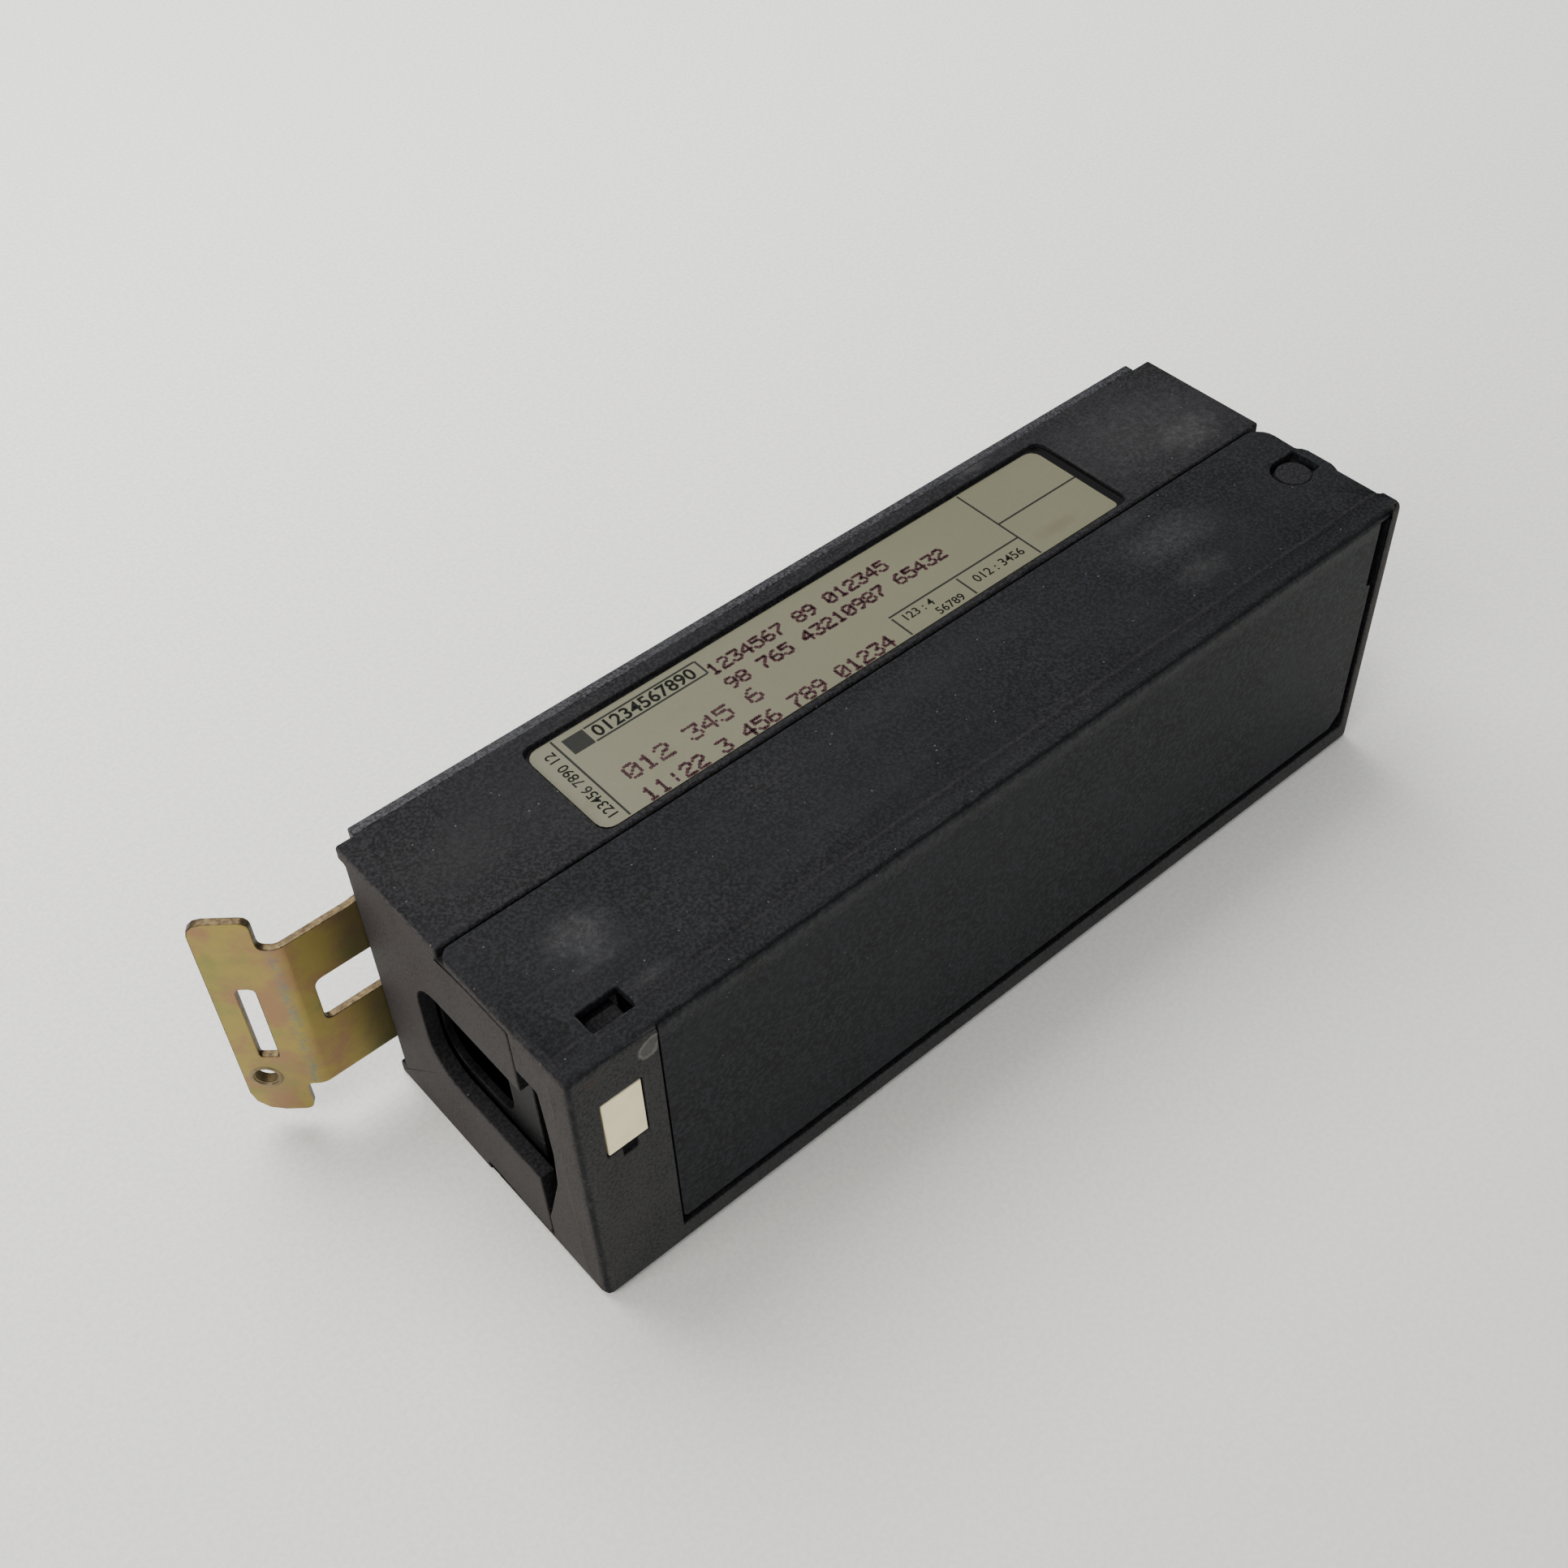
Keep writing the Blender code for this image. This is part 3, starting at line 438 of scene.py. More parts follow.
def brick(form, low, high):
    """Adds a closed box between two corners to a bmesh."""
    middle, size = (Vector(low) + Vector(high)) / 2, Vector(high) - Vector(low)
    bmesh.ops.create_cube(form, size=1.0, matrix=Matrix.Translation(middle) @ Matrix.Diagonal((*size, 1.0)))


def mesh_from(form, name):
    mesh = bpy.data.meshes.new(name)
    form.to_mesh(mesh)
    form.free()
    return mesh


def cut(mesh, tool):
    """The mesh with a second mesh cut from it."""
    guide, cutter = placed("cut", mesh), placed("cutter", tool)
    modifier = guide.modifiers.new("cut", 'BOOLEAN')
    modifier.operation, modifier.object, modifier.solver = 'DIFFERENCE', cutter, 'EXACT'
    done = evaluated_mesh(guide)
    bpy.data.objects.remove(cutter)
    return done


def slotted_screw(head_r, head_h, shank_r, length, slot_w, slot_d):
    """A cheese-head screw on the Y axis: seat at 0, head towards -Y, threaded shank towards +Y."""
    pitch = shank_r * 0.36
    turns = int((length - 1.0) / pitch)
    profile = [(0.0, -head_h), (head_r * 0.80, -head_h), (head_r * 0.95, -head_h * 0.86),
               (head_r, -head_h * 0.6), (head_r, -0.12), (head_r - 0.12, 0.0), (shank_r, 0.0)]
    for turn in range(turns):
        start = 0.5 + turn * pitch
        profile += [(shank_r, start), (shank_r * 0.84, start + pitch * 0.5)]
    profile += [(shank_r, 0.5 + turns * pitch), (shank_r * 0.6, length), (0.0, length)]
    slot = bmesh.new()
    brick(slot, (-head_r * 2 * MM, -(head_h + 1) * MM, -slot_w / 2 * MM),
          (head_r * 2 * MM, -(head_h - slot_d) * MM, slot_w / 2 * MM))
    mesh = cut(mesh_from(turned(profile), "screw"), mesh_from(slot, "slot"))
    mesh.shade_smooth()
    mesh.set_sharp_from_angle(angle=math.radians(32))
    return mesh


def geometry_tree(name, sockets):
    """A Geometry Nodes tree with named inputs: the tree and its entry."""
    tree = bpy.data.node_groups.new(name, "GeometryNodeTree")
    for title, kind in sockets.items():
        tree.interface.new_socket(title, in_out='INPUT', socket_type="NodeSocket" + kind)
    tree.interface.new_socket("Geometry", in_out='OUTPUT', socket_type="NodeSocketGeometry")
    return tree, tree.nodes.new("NodeGroupInput")


def end_tree(tree, copies, finish):
    """Ends a tree: its copies are made real and given their finish."""
    solid = add(tree, "GeometryNodeRealizeInstances", {"Geometry": copies.outputs["Instances"]})
    dressed = add(tree, "GeometryNodeSetMaterial", {"Geometry": solid.outputs["Geometry"],
                                                    "Material": finish})
    tree.links.new(dressed.outputs["Geometry"], tree.nodes.new("NodeGroupOutput").inputs["Geometry"])


# Copies of one piece along a straight row, each turned about the row's screw axis.
terminal_row, enter = geometry_tree("terminal_row", {
    "Piece": "Object", "First": "Vector", "Pitch": "Float", "Count": "Int", "Turn": "Float", "Seed": "Int",
    "Finish": "Material"})
spacing = add(terminal_row, "ShaderNodeCombineXYZ", {"X": enter.outputs["Pitch"]})
line = add(terminal_row, "GeometryNodeMeshLine", {"Count": enter.outputs["Count"],
                                                  "Start Location": enter.outputs["First"],
                                                  "Offset": spacing.outputs[0]})
chance = add(terminal_row, "FunctionNodeRandomValue", {"Seed": enter.outputs["Seed"]}, data_type='FLOAT')
angle = calc(terminal_row, 'MULTIPLY', chance.outputs[1], enter.outputs["Turn"])
twist = add(terminal_row, "ShaderNodeCombineXYZ", {"Y": angle})
source = add(terminal_row, "GeometryNodeObjectInfo", {"Object": enter.outputs["Piece"]})
copies = add(terminal_row, "GeometryNodeInstanceOnPoints", {"Points": line.outputs["Mesh"],
                                                            "Instance": source.outputs["Geometry"],
                                                            "Rotation": twist.outputs[0]})
end_tree(terminal_row, copies, enter.outputs["Finish"])


def grown(tree, values, base=None):
    """The plain mesh that a Geometry Nodes tree makes from its named inputs."""
    guide = placed("grown", base or bpy.data.meshes.new("grown"))
    modifier = guide.modifiers.new("grown", 'NODES')
    modifier.node_group = tree
    sockets = {item.name: item.identifier for item in tree.interface.items_tree if item.in_out == 'INPUT'}
    for title, value in values.items():
        modifier[sockets[title]] = value
    return evaluated_mesh(guide)


def repeated(mesh, first, pitch, count, finish, turn=0.0, seed=0):
    """The mesh of a row of copies, from the first one's place."""
    piece = placed("row_piece", mesh)
    done = grown(terminal_row, {"Piece": piece, "First": tuple(first), "Pitch": pitch, "Count": count,
                                "Turn": turn, "Seed": seed, "Finish": finish})
    bpy.data.objects.remove(piece)
    return done


HEAD_H = 2.0


def screw_seat(node):
    """Where the under side of a terminal screw's head sits, on the screw's axis."""
    low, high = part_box(node)
    return Vector(((low.x + high.x) / 2, low.y + HEAD_H * MM, (low.z + high.z) / 2))


nickel = plated("nickel_plate", (0.60, 0.58, 0.54), 0.26)
screw_form = slotted_screw(head_r=2.8, head_h=HEAD_H, shank_r=1.5, length=8.1, slot_w=0.9, slot_d=0.9)
terminal_pitch = screw_seat(rows["lower"][1]).x - screw_seat(rows["lower"][0]).x
ROW_SEED = 22
for row, names in rows.items():
    mesh = repeated(screw_form, screw_seat(names[0]), terminal_pitch, len(names), nickel, turn=math.pi,
                    seed=ROW_SEED)
    show("terminal_screws_" + row, mesh, "housing", nickel, "nickel_plated_steel", *names)

# ---------------------------------------------------------------- clamping plates
# Stamped saddle under each screw head, with turned-down lips that keep the wire from slipping
# out; zinc-plated steel.
zinc = plated("bright_zinc", (0.63, 0.65, 0.68), 0.32)
saddle = bmesh.new()
brick(saddle, Vector((-3.0, 0.02, -3.0)) * MM, Vector((3.0, 0.42, 3.0)) * MM)
brick(saddle, Vector((-3.0, -0.9, 2.6)) * MM, Vector((3.0, 0.42, 3.6)) * MM)
hole = turned([(0.0, -2.0), (1.65, -2.0), (1.65, 2.0), (0.0, 2.0)])
saddle_mesh = cut(mesh_from(saddle, "saddle"), mesh_from(hole, "hole"))
for row, names in rows.items():
    mesh = repeated(saddle_mesh, screw_seat(names[0]), terminal_pitch, len(names), zinc)
    show("clamping_plates_" + row, mesh, "housing", zinc, "zinc_plated_steel")

# ---------------------------------------------------------------- number strips
# White strips clipped along each row, hot-stamped with the terminals' numbers; the figures stand
# upright when the block is mounted with its cable end down.
def clean_plastic(name, colour, roughness, stain, soil=0.35):
    """Smooth light plastic or paper, a little yellowed and soiled in patches."""
    finish, tree, shader, position = new_finish(name)
    shade = blend(tree, patches(tree, position, 0.25, 5.0, 0.6, 0.4, 0.75), colour, stain)
    dirt = patches(tree, position, 1.1, 5.0, 0.75, 0.60, 0.80)
    shade = blend(tree, dirt, shade, (0.20, 0.17, 0.12), soil)
    edge = effect(tree, edge_strips, position, {"Strip Amount": 0.9})["Mask"]
    shade = blend(tree, edge, shade, tinted(stain, 0.55), 0.5)
    surface(tree, shade, swing(tree, roughness, dirt, 0.2), noise(tree, position, 2.2, 3.0), 0.25, 0.03)
    return finish


def ink(name, colour, fade):
    """Printing ink, thinner where it has worn."""
    finish, tree, shader, position = new_finish(name)
    thin = patches(tree, position, 1.6, 4.0, 0.7, 0.42, 0.75)
    surface(tree, blend(tree, thin, colour, fade), swing(tree, 0.6, thin, 0.2))
    shader.inputs["Specular IOR Level"].default_value = 0.15
    return finish


FIGURE_DEPTH = 0.02


def figures(text, size, start, along, up, weight=0.03):
    """A bmesh of raised figures: their lower left corner is at start, read along, standing up."""
    curve = bpy.data.curves.new("figures", 'FONT')
    curve.body, curve.size, curve.extrude = text, size * MM, FIGURE_DEPTH / 2 * MM
    curve.resolution_u, curve.offset = 3, weight * MM
    mesh = evaluated_mesh(placed("figures", curve))
    along, up = Vector(along), Vector(up)
    frame_of_text = Matrix((along, up, along.cross(up))).transposed().to_4x4()
    form = bmesh.new()
    form.from_mesh(mesh)
    bmesh.ops.remove_doubles(form, verts=form.verts, dist=0.001 * MM)
    bmesh.ops.transform(form, matrix=Matrix.Translation(start) @ frame_of_text, verts=form.verts)
    return form


def joined(forms, name):
    """One mesh of several bmeshes."""
    whole = bmesh.new()
    for form in forms:
        mesh = mesh_from(form, "part")
        whole.from_mesh(mesh)
        bpy.data.meshes.remove(mesh)
    return mesh_from(whole, name)


white = clean_plastic("white_strip", (0.74, 0.71, 0.62), 0.4, (0.66, 0.61, 0.48))
black_ink = ink("stamped_black", (0.020, 0.020, 0.022), (0.08, 0.08, 0.08))
for row, names in rows.items():
    node = "number_strip_" + row
    low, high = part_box(node)
    show(node + "_bar", softened(merged(node), 0.2), "housing", white, "white_plastic", node)
    stamped = []
    for name in names:
        label = str(int(name[-2:]))
        from_end = 1.0 if len(label) > 1 else 1.8
        start = Vector((screw_seat(name).x - 1.0 * MM, low.y - 0.008 * MM, high.z - from_end * MM))
        stamped.append(figures(label, 2.9, start, (0, 0, -1), (1, 0, 0)))
    show(node + "_figures", joined(stamped, node), "housing", black_ink, "white_plastic")

# ---------------------------------------------------------------- connector base
# Rear moulding that plugs into the module: a flange, two rows of socket mouths with tinned
# springs in them, screwed to the housing's bosses.
base_finish = moulded_plastic("grey_base", (0.016, 0.016, 0.018), 0.5, 0.32, 0.4, 0.55)
SOCKET_SHIFT = 1.2 * MM
base_low, base_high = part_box("connector_base")


def split(form, place, way):
    """New edges where a plane passes through a bmesh."""
    bmesh.ops.bisect_plane(form, geom=form.verts[:] + form.edges[:] + form.faces[:], plane_co=place,
                           plane_no=way)


# Edges between the socket mouths, so that the rounding of one doesn't reach the next.
form = merged("connector_base")
first_wall = screw_seat(rows["lower"][0]).x + SOCKET_SHIFT - terminal_pitch / 2
walls = [((first_wall + i * terminal_pitch, 0, 0), (1, 0, 0)) for i in range(len(rows["lower"]) + 1)]
for place, way in walls + [((0, 0, (base_low.z + base_high.z) / 2), (0, 0, 1))]:
    split(form, place, way)
show("base_moulding", softened(form, 0.12), "housing", base_finish, "grey_moulding", "connector_base")
tin = plated("tinned_bronze", (0.62, 0.52, 0.34), 0.28)
spring = bmesh.new()
for side in (-1.5, 1.5):
    brick(spring, Vector((-0.9, -5.0, side - 0.15)) * MM, Vector((0.9, 0.0, side + 0.15)) * MM)
    for vert in spring.verts:
        if vert.co.y > -0.001 * MM and abs(vert.co.z) > 1.0 * MM:
            vert.co.z *= 1.25
brick(spring, Vector((-0.9, -5.3, -1.8)) * MM, Vector((0.9, -4.9, 1.8)) * MM)
spring_mesh = mesh_from(spring, "spring")
SOCKET_HEIGHTS, SPRING_DEPTH = {"lower": 17.0, "upper": 35.0}, 1.4
for name, height in SOCKET_HEIGHTS.items():
    first = Vector((screw_seat(rows["lower"][0]).x + SOCKET_SHIFT, base_high.y - SPRING_DEPTH * MM,
                    height * MM))
    mesh = repeated(spring_mesh, first, terminal_pitch, len(rows["lower"]), tin)
    show("socket_springs_" + name, mesh, "housing", tin, "nickel_plated_steel")

# ---------------------------------------------------------------- base and bracket screws
# Zinc-plated screws: four hold the connector base, two hold the bracket's legs. Heads of the
# first four face the rear, the others face the front.
def screw_piece(node, name, finish, slot, head_r, head_h, shank_r, length, turn, faces_rear=False,
                body="housing"):
    """One detailed screw in a CAD screw's place."""
    low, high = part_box(node)
    mesh = slotted_screw(head_r, head_h, shank_r, length, 0.9, 0.8)
    seat_y = high.y - head_h * MM if faces_rear else low.y + head_h * MM
    flip = Matrix.Rotation(math.pi, 4, 'Z') if faces_rear else Matrix.Identity(4)
    middle = Vector(((low.x + high.x) / 2, seat_y, (low.z + high.z) / 2))
    mesh.transform(Matrix.Translation(middle) @ flip @ Matrix.Rotation(turn, 4, 'Y'))
    show(name, mesh, body, finish, slot, node)


for number in range(1, 5):
    screw_piece("base_screw_%d" % number, "base_fixing_%d" % number, zinc, "zinc_plated_steel",
                head_r=2.5, head_h=1.2, shank_r=1.2, length=9.3, turn=0.7 * number, faces_rear=True)
for number, side in enumerate(("lower", "upper")):
    screw_piece("bracket_screw_" + side, "bracket_fixing_" + side, zinc, "zinc_plated_steel",
                head_r=2.9, head_h=1.7, shank_r=1.3, length=3.2, turn=0.5 + number)

# ---------------------------------------------------------------- fixing screw and its ring
# Long captive screw that pulls the block onto the module; a snap ring behind the flange keeps
# it from falling out.
screw_piece("fixing_screw", "captive_screw", nickel, "nickel_plated_steel", head_r=3.4, head_h=3.5,
            shank_r=1.9, length=20.7, turn=0.6, body="fixing_screw")
show("snap_ring", softened(merged("retaining_ring"), 0.15, clamp=True), "fixing_screw", nickel,
     "nickel_plated_steel", "retaining_ring")

# ---------------------------------------------------------------- coding pegs
# Two loose plastic pegs pressed into the flange, so that the block fits only its own module.
peg_finish = moulded_plastic("grey_pegs", (0.030, 0.029, 0.027), 0.45, 0.4, 0.3, 0.3)
for number in (1, 2):
    node = "coding_peg_%d" % number
    show(node + "_pin", softened(merged(node), 0.1, clamp=True), "housing", peg_finish, "grey_moulding", node)

# ---------------------------------------------------------------- cable bracket
# Blanked and bent from mild steel sheet, then zinc plated and passivated yellow: gold with
# pink and green patches, and a bluish line where the bend stretched the plating.
bracket_finish, tree, shader, position = new_finish("yellow_passivate")
along = add(tree, "ShaderNodeSeparateXYZ", {0: position}).outputs["X"]
GOLD, PINK = (0.290, 0.225, 0.064), (0.270, 0.158, 0.080)
GREEN, OLIVE_SHADE, BLUISH = (0.205, 0.200, 0.060), (0.068, 0.062, 0.036), (0.115, 0.150, 0.140)
BARE_AND_SHADED_EDGE_PALE, BARE_AND_SHADED_EDGE_DARK, PIT = (0.105, 0.076, 0.036), (0.036, 0.025, 0.015), (0.16, 0.13, 0.06)
shade = blend(tree, patches(tree, position, 0.10, 4.0, 0.6, 0.44, 0.62), GOLD, PINK)
elsewhere = vector_calc(tree, 'ADD', position, (31.0, 7.0, 13.0))
shade = blend(tree, patches(tree, elsewhere, 0.12, 4.0, 0.6, 0.50, 0.68), shade, GREEN, 0.8)
# Painted shade: the bracket is painted darker olive towards the housing's end face.
shade = blend(tree, step(tree, along, -7.0, -1.0), shade, OLIVE_SHADE, 0.6)
from_bend = calc(tree, 'ADD', calc(tree, 'ADD', along, 12.6), noise(tree, position, 0.3))
bend_line = step(tree, calc(tree, 'ABSOLUTE', from_bend, 0.0), 1.2, 0.0)
stretched = calc(tree, 'MULTIPLY', bend_line, patches(tree, position, 0.7, 5.0, 0.8, 0.40, 0.68))
shade = blend(tree, stretched, shade, BLUISH, 0.85)
# The cut edge faces are painted dark brown: bare sheared steel, and painted shade on those faces.
cut_edge = add(tree, "ShaderNodeAttribute", attribute_name="cut").outputs["Fac"]
edge_mottle = patches(tree, position, 1.2, 4.0, 0.7, 0.35, 0.65)
shade = blend(tree, cut_edge, shade, blend(tree, edge_mottle, BARE_AND_SHADED_EDGE_PALE, BARE_AND_SHADED_EDGE_DARK))
shade = blend(tree, patches(tree, position, 2.4, 3.0, 0.7, 0.62, 0.74), shade, PIT, 0.35)
surface(tree, shade, swing(tree, 0.36, noise(tree, position, 0.8, 5.0, 0.7), 0.2),
        noise(tree, position, 2.0, 4.0, 0.6), 0.35, 0.03)
shader.inputs["Metallic"].default_value = 0.9
bracket_mesh = softened(merged("cable_bracket"), 0.18, angle=50)
sheared = bracket_mesh.attributes.new("cut", 'FLOAT', 'FACE')
for polygon, value in zip(bracket_mesh.polygons, sheared.data):
    value.value = float(abs(polygon.normal.y) < 0.72 or abs(polygon.normal.z) > 0.35)
show("bracket_plate", bracket_mesh, "housing", bracket_finish, "yellow_passivated_steel", "cable_bracket")

# ---------------------------------------------------------------- tapped hole
# The hole for the cable clamp's screw: punching raised a pale rim round it, and the tap left
# its thread in the wall; bare steel where the plating is thin.
bare_steel = plated("worn_thread", (0.20, 0.155, 0.085), 0.38, 0.4)
THREAD_R, THREAD_PITCH, THREAD_TURNS, THREAD_DEPTH = 1.9, 0.32, 6, 0.24
SHEET, COLLAR, BEND = 1.3, 0.8, math.radians(40)
rim = [(THREAD_R, 0.1), (THREAD_R, -0.07), (THREAD_R + 0.12, -0.12), (THREAD_R + 0.42, -0.09),
       (THREAD_R + 0.62, 0.03), (THREAD_R + 0.3, 0.1), (THREAD_R, 0.1)]
thread = [(THREAD_R + 0.1, 0.04)]
for turn in range(THREAD_TURNS):
    start = 0.06 + turn * THREAD_PITCH
    thread += [(THREAD_R, start), (THREAD_R - THREAD_DEPTH, start + THREAD_PITCH / 2)]
thread += [(THREAD_R + 0.2, SHEET + COLLAR), (THREAD_R + 0.35, SHEET + 0.2), (THREAD_R + 0.1, SHEET - 0.04),
           (THREAD_R + 0.1, 0.04)]
lining = joined([turned(rim, 40), turned(thread, 40)], "tapped_lining")
lining.transform(Matrix.Translation(at(-18.57, 55.66, 12.3)) @ Matrix.Rotation(-BEND, 4, 'Z'))
show("tapped_lining", lining, "housing", bare_steel, "yellow_passivated_steel")

# ---------------------------------------------------------------- rating label
# Khaki polyester sticker, aged and a little soiled. Its rules are thin dark lines, and its rows
# of figures come from a pin printer in a faded maroon ribbon.
label_finish, tree, shader, position = new_finish("aged_sticker")
shade = blend(tree, noise(tree, position, 0.05, 4.0), (0.110, 0.107, 0.068), (0.095, 0.092, 0.059))
foxing = patches(tree, position, 0.16, 5.0, 0.65, 0.52, 0.78)
shade = blend(tree, foxing, shade, (0.098, 0.088, 0.060), 0.5)
fibre = noise(tree, position, 2.5, 4.0, 0.7)
shade = blend(tree, step(tree, fibre, 0.5, 0.8), shade, (0.155, 0.150, 0.112), 0.35)
smudge = effect(tree, ragged_spot, position, {"Centre": (118.0, 33.0, 51.2), "Size": (6.0, 2.0, 3.0)})["Mask"]
shade = blend(tree, smudge, shade, (0.07, 0.052, 0.034), 0.35)
surface(tree, shade, swing(tree, 0.42, foxing, 0.2), fibre, 0.2, 0.02)
shader.inputs["Specular IOR Level"].default_value = 0.2
show("sticker", softened(merged("rating_label"), 0.04, angle=60), "housing", label_finish, "aged_sticker",
     "rating_label")
label_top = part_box("rating_label")[1].z
print_z = (label_top - block_corner.z) / MM - 0.01
INK_DEPTH = 0.03


def rule(form, start, end, width=0.34):
    """Adds a printed line between two places on the label to a bmesh."""
    (x0, y0), (x1, y1) = start, end
    half = width / 2
    if abs(x1 - x0) > abs(y1 - y0):
        brick(form, at(x0 - half, y0 - half, print_z), at(x1 + half, y0 + half, print_z + INK_DEPTH))
    else:
        brick(form, at(x0 - half, y0 + half, print_z), at(x0 + half, y1 - half, print_z + INK_DEPTH))


LABEL_FRONT, LABEL_REAR, LABEL_FAR = 30.1, 48.8, 129.0
lines = bmesh.new()
rule(lines, (33.2, LABEL_FRONT), (33.2, LABEL_REAR))
rule(lines, (112.2, LABEL_FRONT), (112.2, LABEL_REAR))
rule(lines, (112.5, 39.4), (LABEL_FAR, 39.4))
rule(lines, (85.4, 35.2), (111.9, 35.2))
rule(lines, (85.4, LABEL_FRONT), (85.4, 34.9))
rule(lines, (98.6, LABEL_FRONT), (98.6, 34.9))
for y in (44.4, 47.6):
    rule(lines, (38.4, y), (58.0, y))
rule(lines, (58.3, 44.2), (58.3, 47.8))
brick(lines, at(34.4, 44.3, print_z), at(38.0, 47.7, print_z + INK_DEPTH))
olive_ink = ink("olive_ink", (0.0085, 0.0095, 0.0075), (0.020, 0.020, 0.015))
ALONG, ACROSS, BACK = (1, 0, 0), (0, 1, 0), (-1, 0, 0)
small_print = [
    figures("01234567890", 3.3, at(38.8, 44.9, print_z), ALONG, ACROSS, 0.07),
    figures("123 : 4", 2.2, at(86.6, 32.9, print_z), ALONG, ACROSS),
    figures("56789", 2.2, at(91.4, 30.6, print_z), ALONG, ACROSS),
    figures("012 : 3456", 2.4, at(100.4, 31.9, print_z), ALONG, ACROSS),
    figures("123456 7890 12", 2.4, at(32.3, 31.2, print_z), ACROSS, BACK),
]
show("label_rules", joined([lines, *small_print], "label_rules"), "housing", olive_ink, "aged_sticker")

# Seven rows of five pins for each figure.
PINS = {"0": "01110 10001 10011 10101 11001 10001 01110", "1": "00100 01100 00100 00100 00100 00100 01110",
        "2": "01110 10001 00001 00110 01000 10000 11111", "3": "11111 00001 00010 00110 00001 10001 01110",
        "4": "00010 00110 01010 10010 11111 00010 00010", "5": "11111 10000 11110 00001 00001 10001 01110",
        "6": "00110 01000 10000 11110 10001 10001 01110", "7": "11111 00001 00010 00100 01000 01000 01000",
        "8": "01110 10001 10001 01110 10001 10001 01110", "9": "01110 10001 10001 01111 00001 00010 01100",
        ":": "00000 00100 00100 00000 00100 00100 00000", " ": "00000 00000 00000 00000 00000 00000 00000"}


def pin_strokes(form, text, start, pitch, width, height):
    """Adds the place of every dot of a printed row to a bmesh."""
    column, line = width / 4, height / 6
    for place, figure in enumerate(text):
        for row, pins in enumerate(PINS[figure].split()):
            for pin, struck in enumerate(pins):
                if struck == "1":
                    form.verts.new(at(start[0] + place * pitch + pin * column,
                                      start[1] + height - row * line, print_z + INK_DEPTH / 2))


# One round dot of ribbon ink at each point, a little larger or smaller each time.
dot_print, enter = geometry_tree("dot_print", {
    "Points": "Geometry", "Dot Radius": "Float", "Ink Depth": "Float", "Seed": "Int", "Finish": "Material"})
dot = add(dot_print, "GeometryNodeMeshCylinder", {"Vertices": 8, "Radius": enter.outputs["Dot Radius"],
                                                  "Depth": enter.outputs["Ink Depth"]})
press = add(dot_print, "FunctionNodeRandomValue", {2: 0.8, 3: 1.15, "Seed": enter.outputs["Seed"]},
            data_type='FLOAT').outputs[1]
spread = add(dot_print, "ShaderNodeCombineXYZ", {"X": press, "Y": press, "Z": 1.0})
struck = add(dot_print, "GeometryNodeInstanceOnPoints", {"Points": enter.outputs["Points"],
                                                         "Instance": dot.outputs["Mesh"],
                                                         "Scale": spread.outputs[0]})
end_tree(dot_print, struck, enter.outputs["Finish"])

maroon_ink = ink("maroon_ribbon", (0.026, 0.0075, 0.0105), (0.058, 0.024, 0.026))
strokes = bmesh.new()
pin_strokes(strokes, "1234567 89 012345", (58.7, 43.5), 2.05, 1.45, 2.1)
pin_strokes(strokes, "98 765 43210987 65432", (58.9, 39.5), 2.05, 1.45, 2.1)
pin_strokes(strokes, "012 345 6", (37.4, 35.2), 2.72, 2.0, 2.6)
pin_strokes(strokes, "11:22 3 456 789 01234", (36.8, 30.35), 2.2, 1.55, 2.3)
mesh = grown(dot_print, {"Dot Radius": 0.30 * MM, "Ink Depth": INK_DEPTH * MM, "Seed": 4,
                         "Finish": maroon_ink}, base=mesh_from(strokes, "strokes"))
show("label_printing", mesh, "housing", maroon_ink, "aged_sticker")

# ---------------------------------------------------------------- front cover
# Hood of the same charcoal plastic, hung on the housing's two pins and latched at the cable end.
# Its top has a tiny step behind the front edge, and a ring-shaped stain sits beside the marker.
COVER_CHARCOAL = (0.0036, 0.0038, 0.0047)
cover_marks = [((128.2, 19.0, 52.0), (13.0, 6.0, 3.0), (0.036, 0.037, 0.036), 0.7),
               ((126.1, 10.8, 52.0), (8.0, 3.5, 3.0), (0.032, 0.032, 0.031), 0.6),
               ((126.6, 25.9, 52.0), (7.0, 2.0, 3.0), (0.024, 0.024, 0.024), 0.6),
               ((15.3, 17.6, 52.0), (7.0, 6.0, 3.0), (0.046, 0.046, 0.046), 0.75),
               ((15.1, 12.8, 52.0), (7.0, 1.8, 3.0), (0.026, 0.026, 0.026), 0.7),
               ((18.0, 6.6, 52.0), (5.0, 1.6, 3.0), (0.026, 0.026, 0.026), 0.7),
               ((77.0, 22.0, 52.0), (45.0, 5.0, 3.0), (0.013, 0.013, 0.013), 0.6),
               ((3.6, 0.0, 49.4), (1.6, 2.0, 0.8), (0.055, 0.026, 0.020), 0.9),
               ((14.2, 0.0, 49.6), (0.7, 1.0, 0.6), (0.20, 0.10, 0.08), 0.9),
               # The next two paint the rounded far corner and the far rim lighter: dust, and a painted
               # highlight.
               ((159.5, 0.5, 50.5), (3.0, 3.0, 2.0), (0.045, 0.040, 0.036), 0.8),
               ((159.8, 0.0, 26.0), (1.8, 0.8, 60.0), (0.060, 0.048, 0.038), 0.9),
               # A painted highlight along the edge of the step behind the front edge.
               ((80.0, 4.4, 52.0), (200.0, 0.45, 0.5), (0.027, 0.023, 0.023), 0.6)]
cover_finish = moulded_plastic("charcoal_cover", COVER_CHARCOAL, 0.74, 0.42, 0.54, 0.6, cover_marks,
                               [END_DUST_AND_LIGHT, FRONT_DUST_AND_LIGHT])


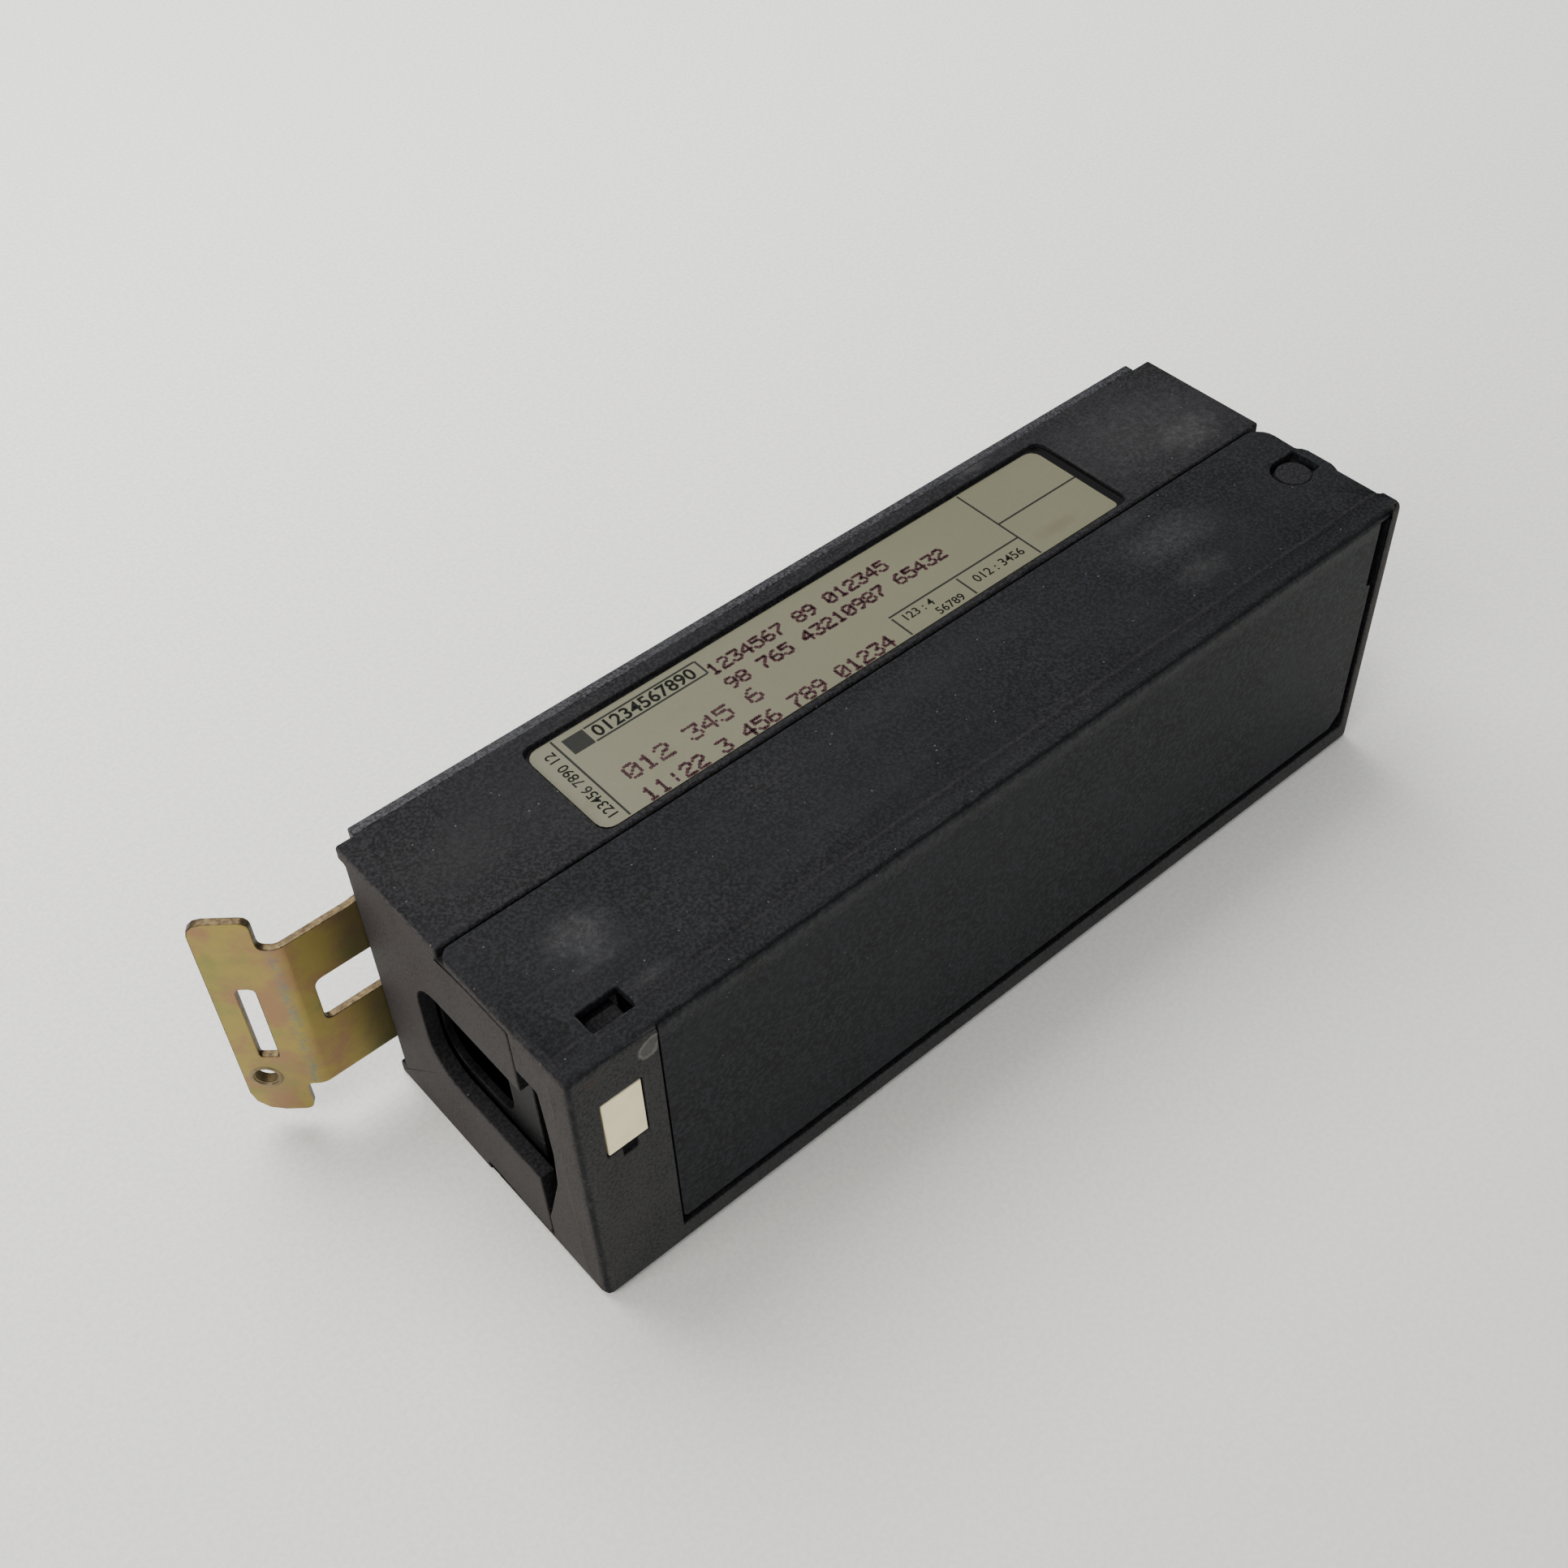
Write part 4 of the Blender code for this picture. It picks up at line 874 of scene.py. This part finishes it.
def dried_drop(tree, position):
    """The ring-shaped stain: a pale crust round a drop that ran to a point."""
    drop = effect(tree, ragged_spot, position, {"Centre": (12.3, 0.0, 48.4), "Size": (1.5, 4.0, 1.6)})
    point = effect(tree, ragged_spot, position, {"Centre": (13.2, 0.0, 49.3), "Size": (1.1, 4.0, 1.1)})
    stain = add(tree, "ShaderNodeMath", {0: drop["Distance"], 1: point["Distance"], 2: 0.5},
                operation='SMOOTH_MIN').outputs[0]
    ring = calc(tree, 'ABSOLUTE', calc(tree, 'SUBTRACT', stain, 0.85), 0.0)
    broken = swing(tree, 0.35, noise(tree, position, 0.9, 4.0, 0.7), 0.9)
    crust = calc(tree, 'MULTIPLY', step(tree, ring, 0.34, 0.04), broken, clamp=True)
    return calc(tree, 'MAXIMUM', crust, calc(tree, 'MULTIPLY', step(tree, stain, 1.0, 0.5), 0.40))


painted_over(cover_finish, dried_drop, (0.13, 0.125, 0.112))
form = merged("front_cover")
corner, CORNER_R = at(0, 0, 0), 0.9
outer = [edge for edge in form.edges
         if all(max(vert.co.x - corner.x, vert.co.y - corner.y) < TOUCH * MM for vert in edge.verts)]
bmesh.ops.bevel(form, geom=outer, offset=CORNER_R * MM, segments=4, profile=0.5, affect='EDGES', material=1)
cover_mesh = softened(form, 0.3)
STEP_Y, STEP_DROP = 4.25, 0.12
form = bmesh.new()
form.from_mesh(cover_mesh)
for y in (STEP_Y, STEP_Y + STEP_DROP):
    split(form, at(0, y, 0), (0, 1, 0))
for vert in form.verts:
    if vert.co.y < at(0, STEP_Y, 0).y + 0.01 * MM:
        vert.co.z -= STEP_DROP * MM * max(0.0, 1.0 - (cover_high.z - vert.co.z) / (0.5 * MM))
form.to_mesh(cover_mesh)
form.free()
show("cover_shell", cover_mesh, "cover", cover_finish, "charcoal_plastic", "front_cover")

# ---------------------------------------------------------------- legend card
# Card slipped in behind the flap, printed with a table: a numbered line for each terminal and
# a space to write in.
card_low, card_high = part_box("legend_card")
card_finish = clean_plastic("legend_paper", (0.70, 0.68, 0.60), 0.75, (0.60, 0.56, 0.44), 0.2)
show("card", softened(merged("legend_card"), 0.05, angle=60), "cover", card_finish, "legend_paper",
     "legend_card")
table = bmesh.new()
card_face = card_low.y + 0.01 * MM
card_size = card_high - card_low
margin, half_line, line_depth, per_column = 4.0 * MM, 0.06 * MM, 0.03 * MM, 16
line_pitch = (card_size.x - 2 * margin) / per_column
entries = []
for i in range(per_column + 1):
    x = card_low.x + margin + i * line_pitch
    brick(table, (x - half_line, card_face - line_depth, card_low.z + 2 * MM),
          (x + half_line, card_face, card_high.z - 2 * MM))
    if i < per_column:
        for column in range(2):
            top = card_high.z - 3.4 * MM - column * (card_size.z / 2)
            entries.append(figures(str(i + 1 + per_column * column), 3.0,
                                   Vector((x + 2.6 * MM, card_face - 0.02 * MM, top)), (0, 0, -1), ALONG))
for z in (2.0, 13.5, 19.5, 25.0, 37.0):
    z_line = card_low.z + z * MM
    brick(table, (card_low.x + margin, card_face - line_depth, z_line - half_line),
          (card_high.x - margin, card_face, z_line + half_line))
show("card_printing", joined([table, *entries], "card_printing"), "cover", black_ink, "legend_paper")

# ---------------------------------------------------------------- marker tile
# Small white plate pressed into its seat on the plain end of the cover, yellowed and grimy at
# the edges.
tile_finish = clean_plastic("ivory_marker", (0.90, 0.79, 0.50), 0.42, (0.78, 0.69, 0.44), 0.25)
show("marker_plate", softened(merged("marker_tile"), 0.12, clamp=True), "cover", tile_finish,
     "white_plastic", "marker_tile")

# ---------------------------------------------------------------- legend flap
# Smooth lid over the legend card, moulded with its own hinge barrel along the upper edge; its
# satin skin is bluer and cleaner than the case.
# The first mark is a painted highlight along the flap's upper edge, by its hinge barrel.
flap_marks = [((85.0, 0.0, 50.0), (400.0, 2.4, 3.0), (0.034, 0.035, 0.034), 0.8),
              ((40.0, 0.2, 20.0), (30.0, 2.0, 10.0), (0.010, 0.011, 0.012), 0.5),
              ((85.0, 0.2, 30.0), (1.2, 1.0, 0.5), (0.040, 0.040, 0.040), 0.6)]
# A large edge amount: the flap's edge strips are painted lighter, as worn edges and a painted highlight along
# its near edge.
flap_finish = moulded_plastic("flap_satin", (0.0052, 0.0057, 0.0072), 0.6, 0.6, 0.2, 0.85, flap_marks,
                              specular=0.15)
form = merged("legend_flap")
flap_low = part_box("legend_flap")[0]
NEAR_REACH = 0.2
for vert in form.verts:
    if vert.co.x < flap_low.x + TOUCH * MM:
        vert.co.x -= NEAR_REACH * MM
show("flap_lid", softened(form, 0.15), "flap", flap_finish, "flap_plastic", "legend_flap")

# ---------------------------------------------------------------- floor and light
# Pale painted table top under a large soft window light from behind, with fill all round. The top is painted
# lighter towards the window, as painted light.
floor_finish, tree, shader, position = new_finish("pale_table")
across = add(tree, "ShaderNodeSeparateXYZ", {0: position}).outputs
window_light_ramp = swing(tree, across["Y"], across["X"], 0.25)
# Painted light: the table is painted lighter towards the window light behind the block.
paint = blend(tree, step(tree, window_light_ramp, -130.0, 360.0), (0.60, 0.595, 0.550), (0.96, 0.96, 0.93))
paint = blend(tree, patches(tree, position, 1.2, 3.0, 0.8, 0.34, 0.66), paint, (0.47, 0.465, 0.455), 0.36)
crumbs = add(tree, "ShaderNodeTexVoronoi", {"Vector": position, "Scale": 0.030}, feature='F1')
crumb = swing(tree, crumbs.outputs["Distance"], noise(tree, position, 0.8), 0.05)
paint = blend(tree, step(tree, crumb, 0.042, 0.030), paint, (0.20, 0.18, 0.16), 0.6)
paint = blend(tree, patches(tree, position, 0.12, 5.0, 0.8, 0.70, 0.82), paint, (0.45, 0.43, 0.40), 0.25)
surface(tree, paint, 0.7, noise(tree, position, 0.25, 3.0), 0.15, 0.2)
sheet = bmesh.new()
bmesh.ops.create_grid(sheet, x_segments=2, y_segments=2, size=3.0,
                      matrix=Matrix.Translation((0, 0, cad_low.z)))
floor_mesh = mesh_from(sheet, "table_top")
floor_mesh.materials.append(floor_finish)
placed("table_top", floor_mesh)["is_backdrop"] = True


def soft_light(name, place, size, power, colour):
    """A square area light that faces the block."""
    lamp = bpy.data.lights.new(name, 'AREA')
    lamp.shape, lamp.size, lamp.energy, lamp.color = 'SQUARE', size, power, colour
    aim = Vector((0.0, 0.0, 0.02)) - Vector(place)
    turned_to = aim.to_track_quat('-Z', 'Y').to_matrix().to_4x4()
    placed(name, lamp).matrix_world = Matrix.Translation(place) @ turned_to


soft_light("window_light", (-0.04, 0.46, 0.90), 0.7, 14.5, (1.0, 0.995, 0.985))
soft_light("left_light", (-0.75, -0.12, 0.65), 0.6, 8.5, (1.0, 0.985, 0.955))
soft_light("front_fill", (0.30, -1.20, 0.30), 0.8, 1.9, (0.98, 0.99, 1.0))
world = bpy.data.worlds.new("studio")
world.use_nodes = True
sky = world.node_tree.nodes["Background"].inputs
sky["Color"].default_value, sky["Strength"].default_value = (0.96, 0.97, 1.0, 1.0), 0.58
bpy.context.scene.world = world

bpy.context.view_layer.update()
low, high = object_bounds()
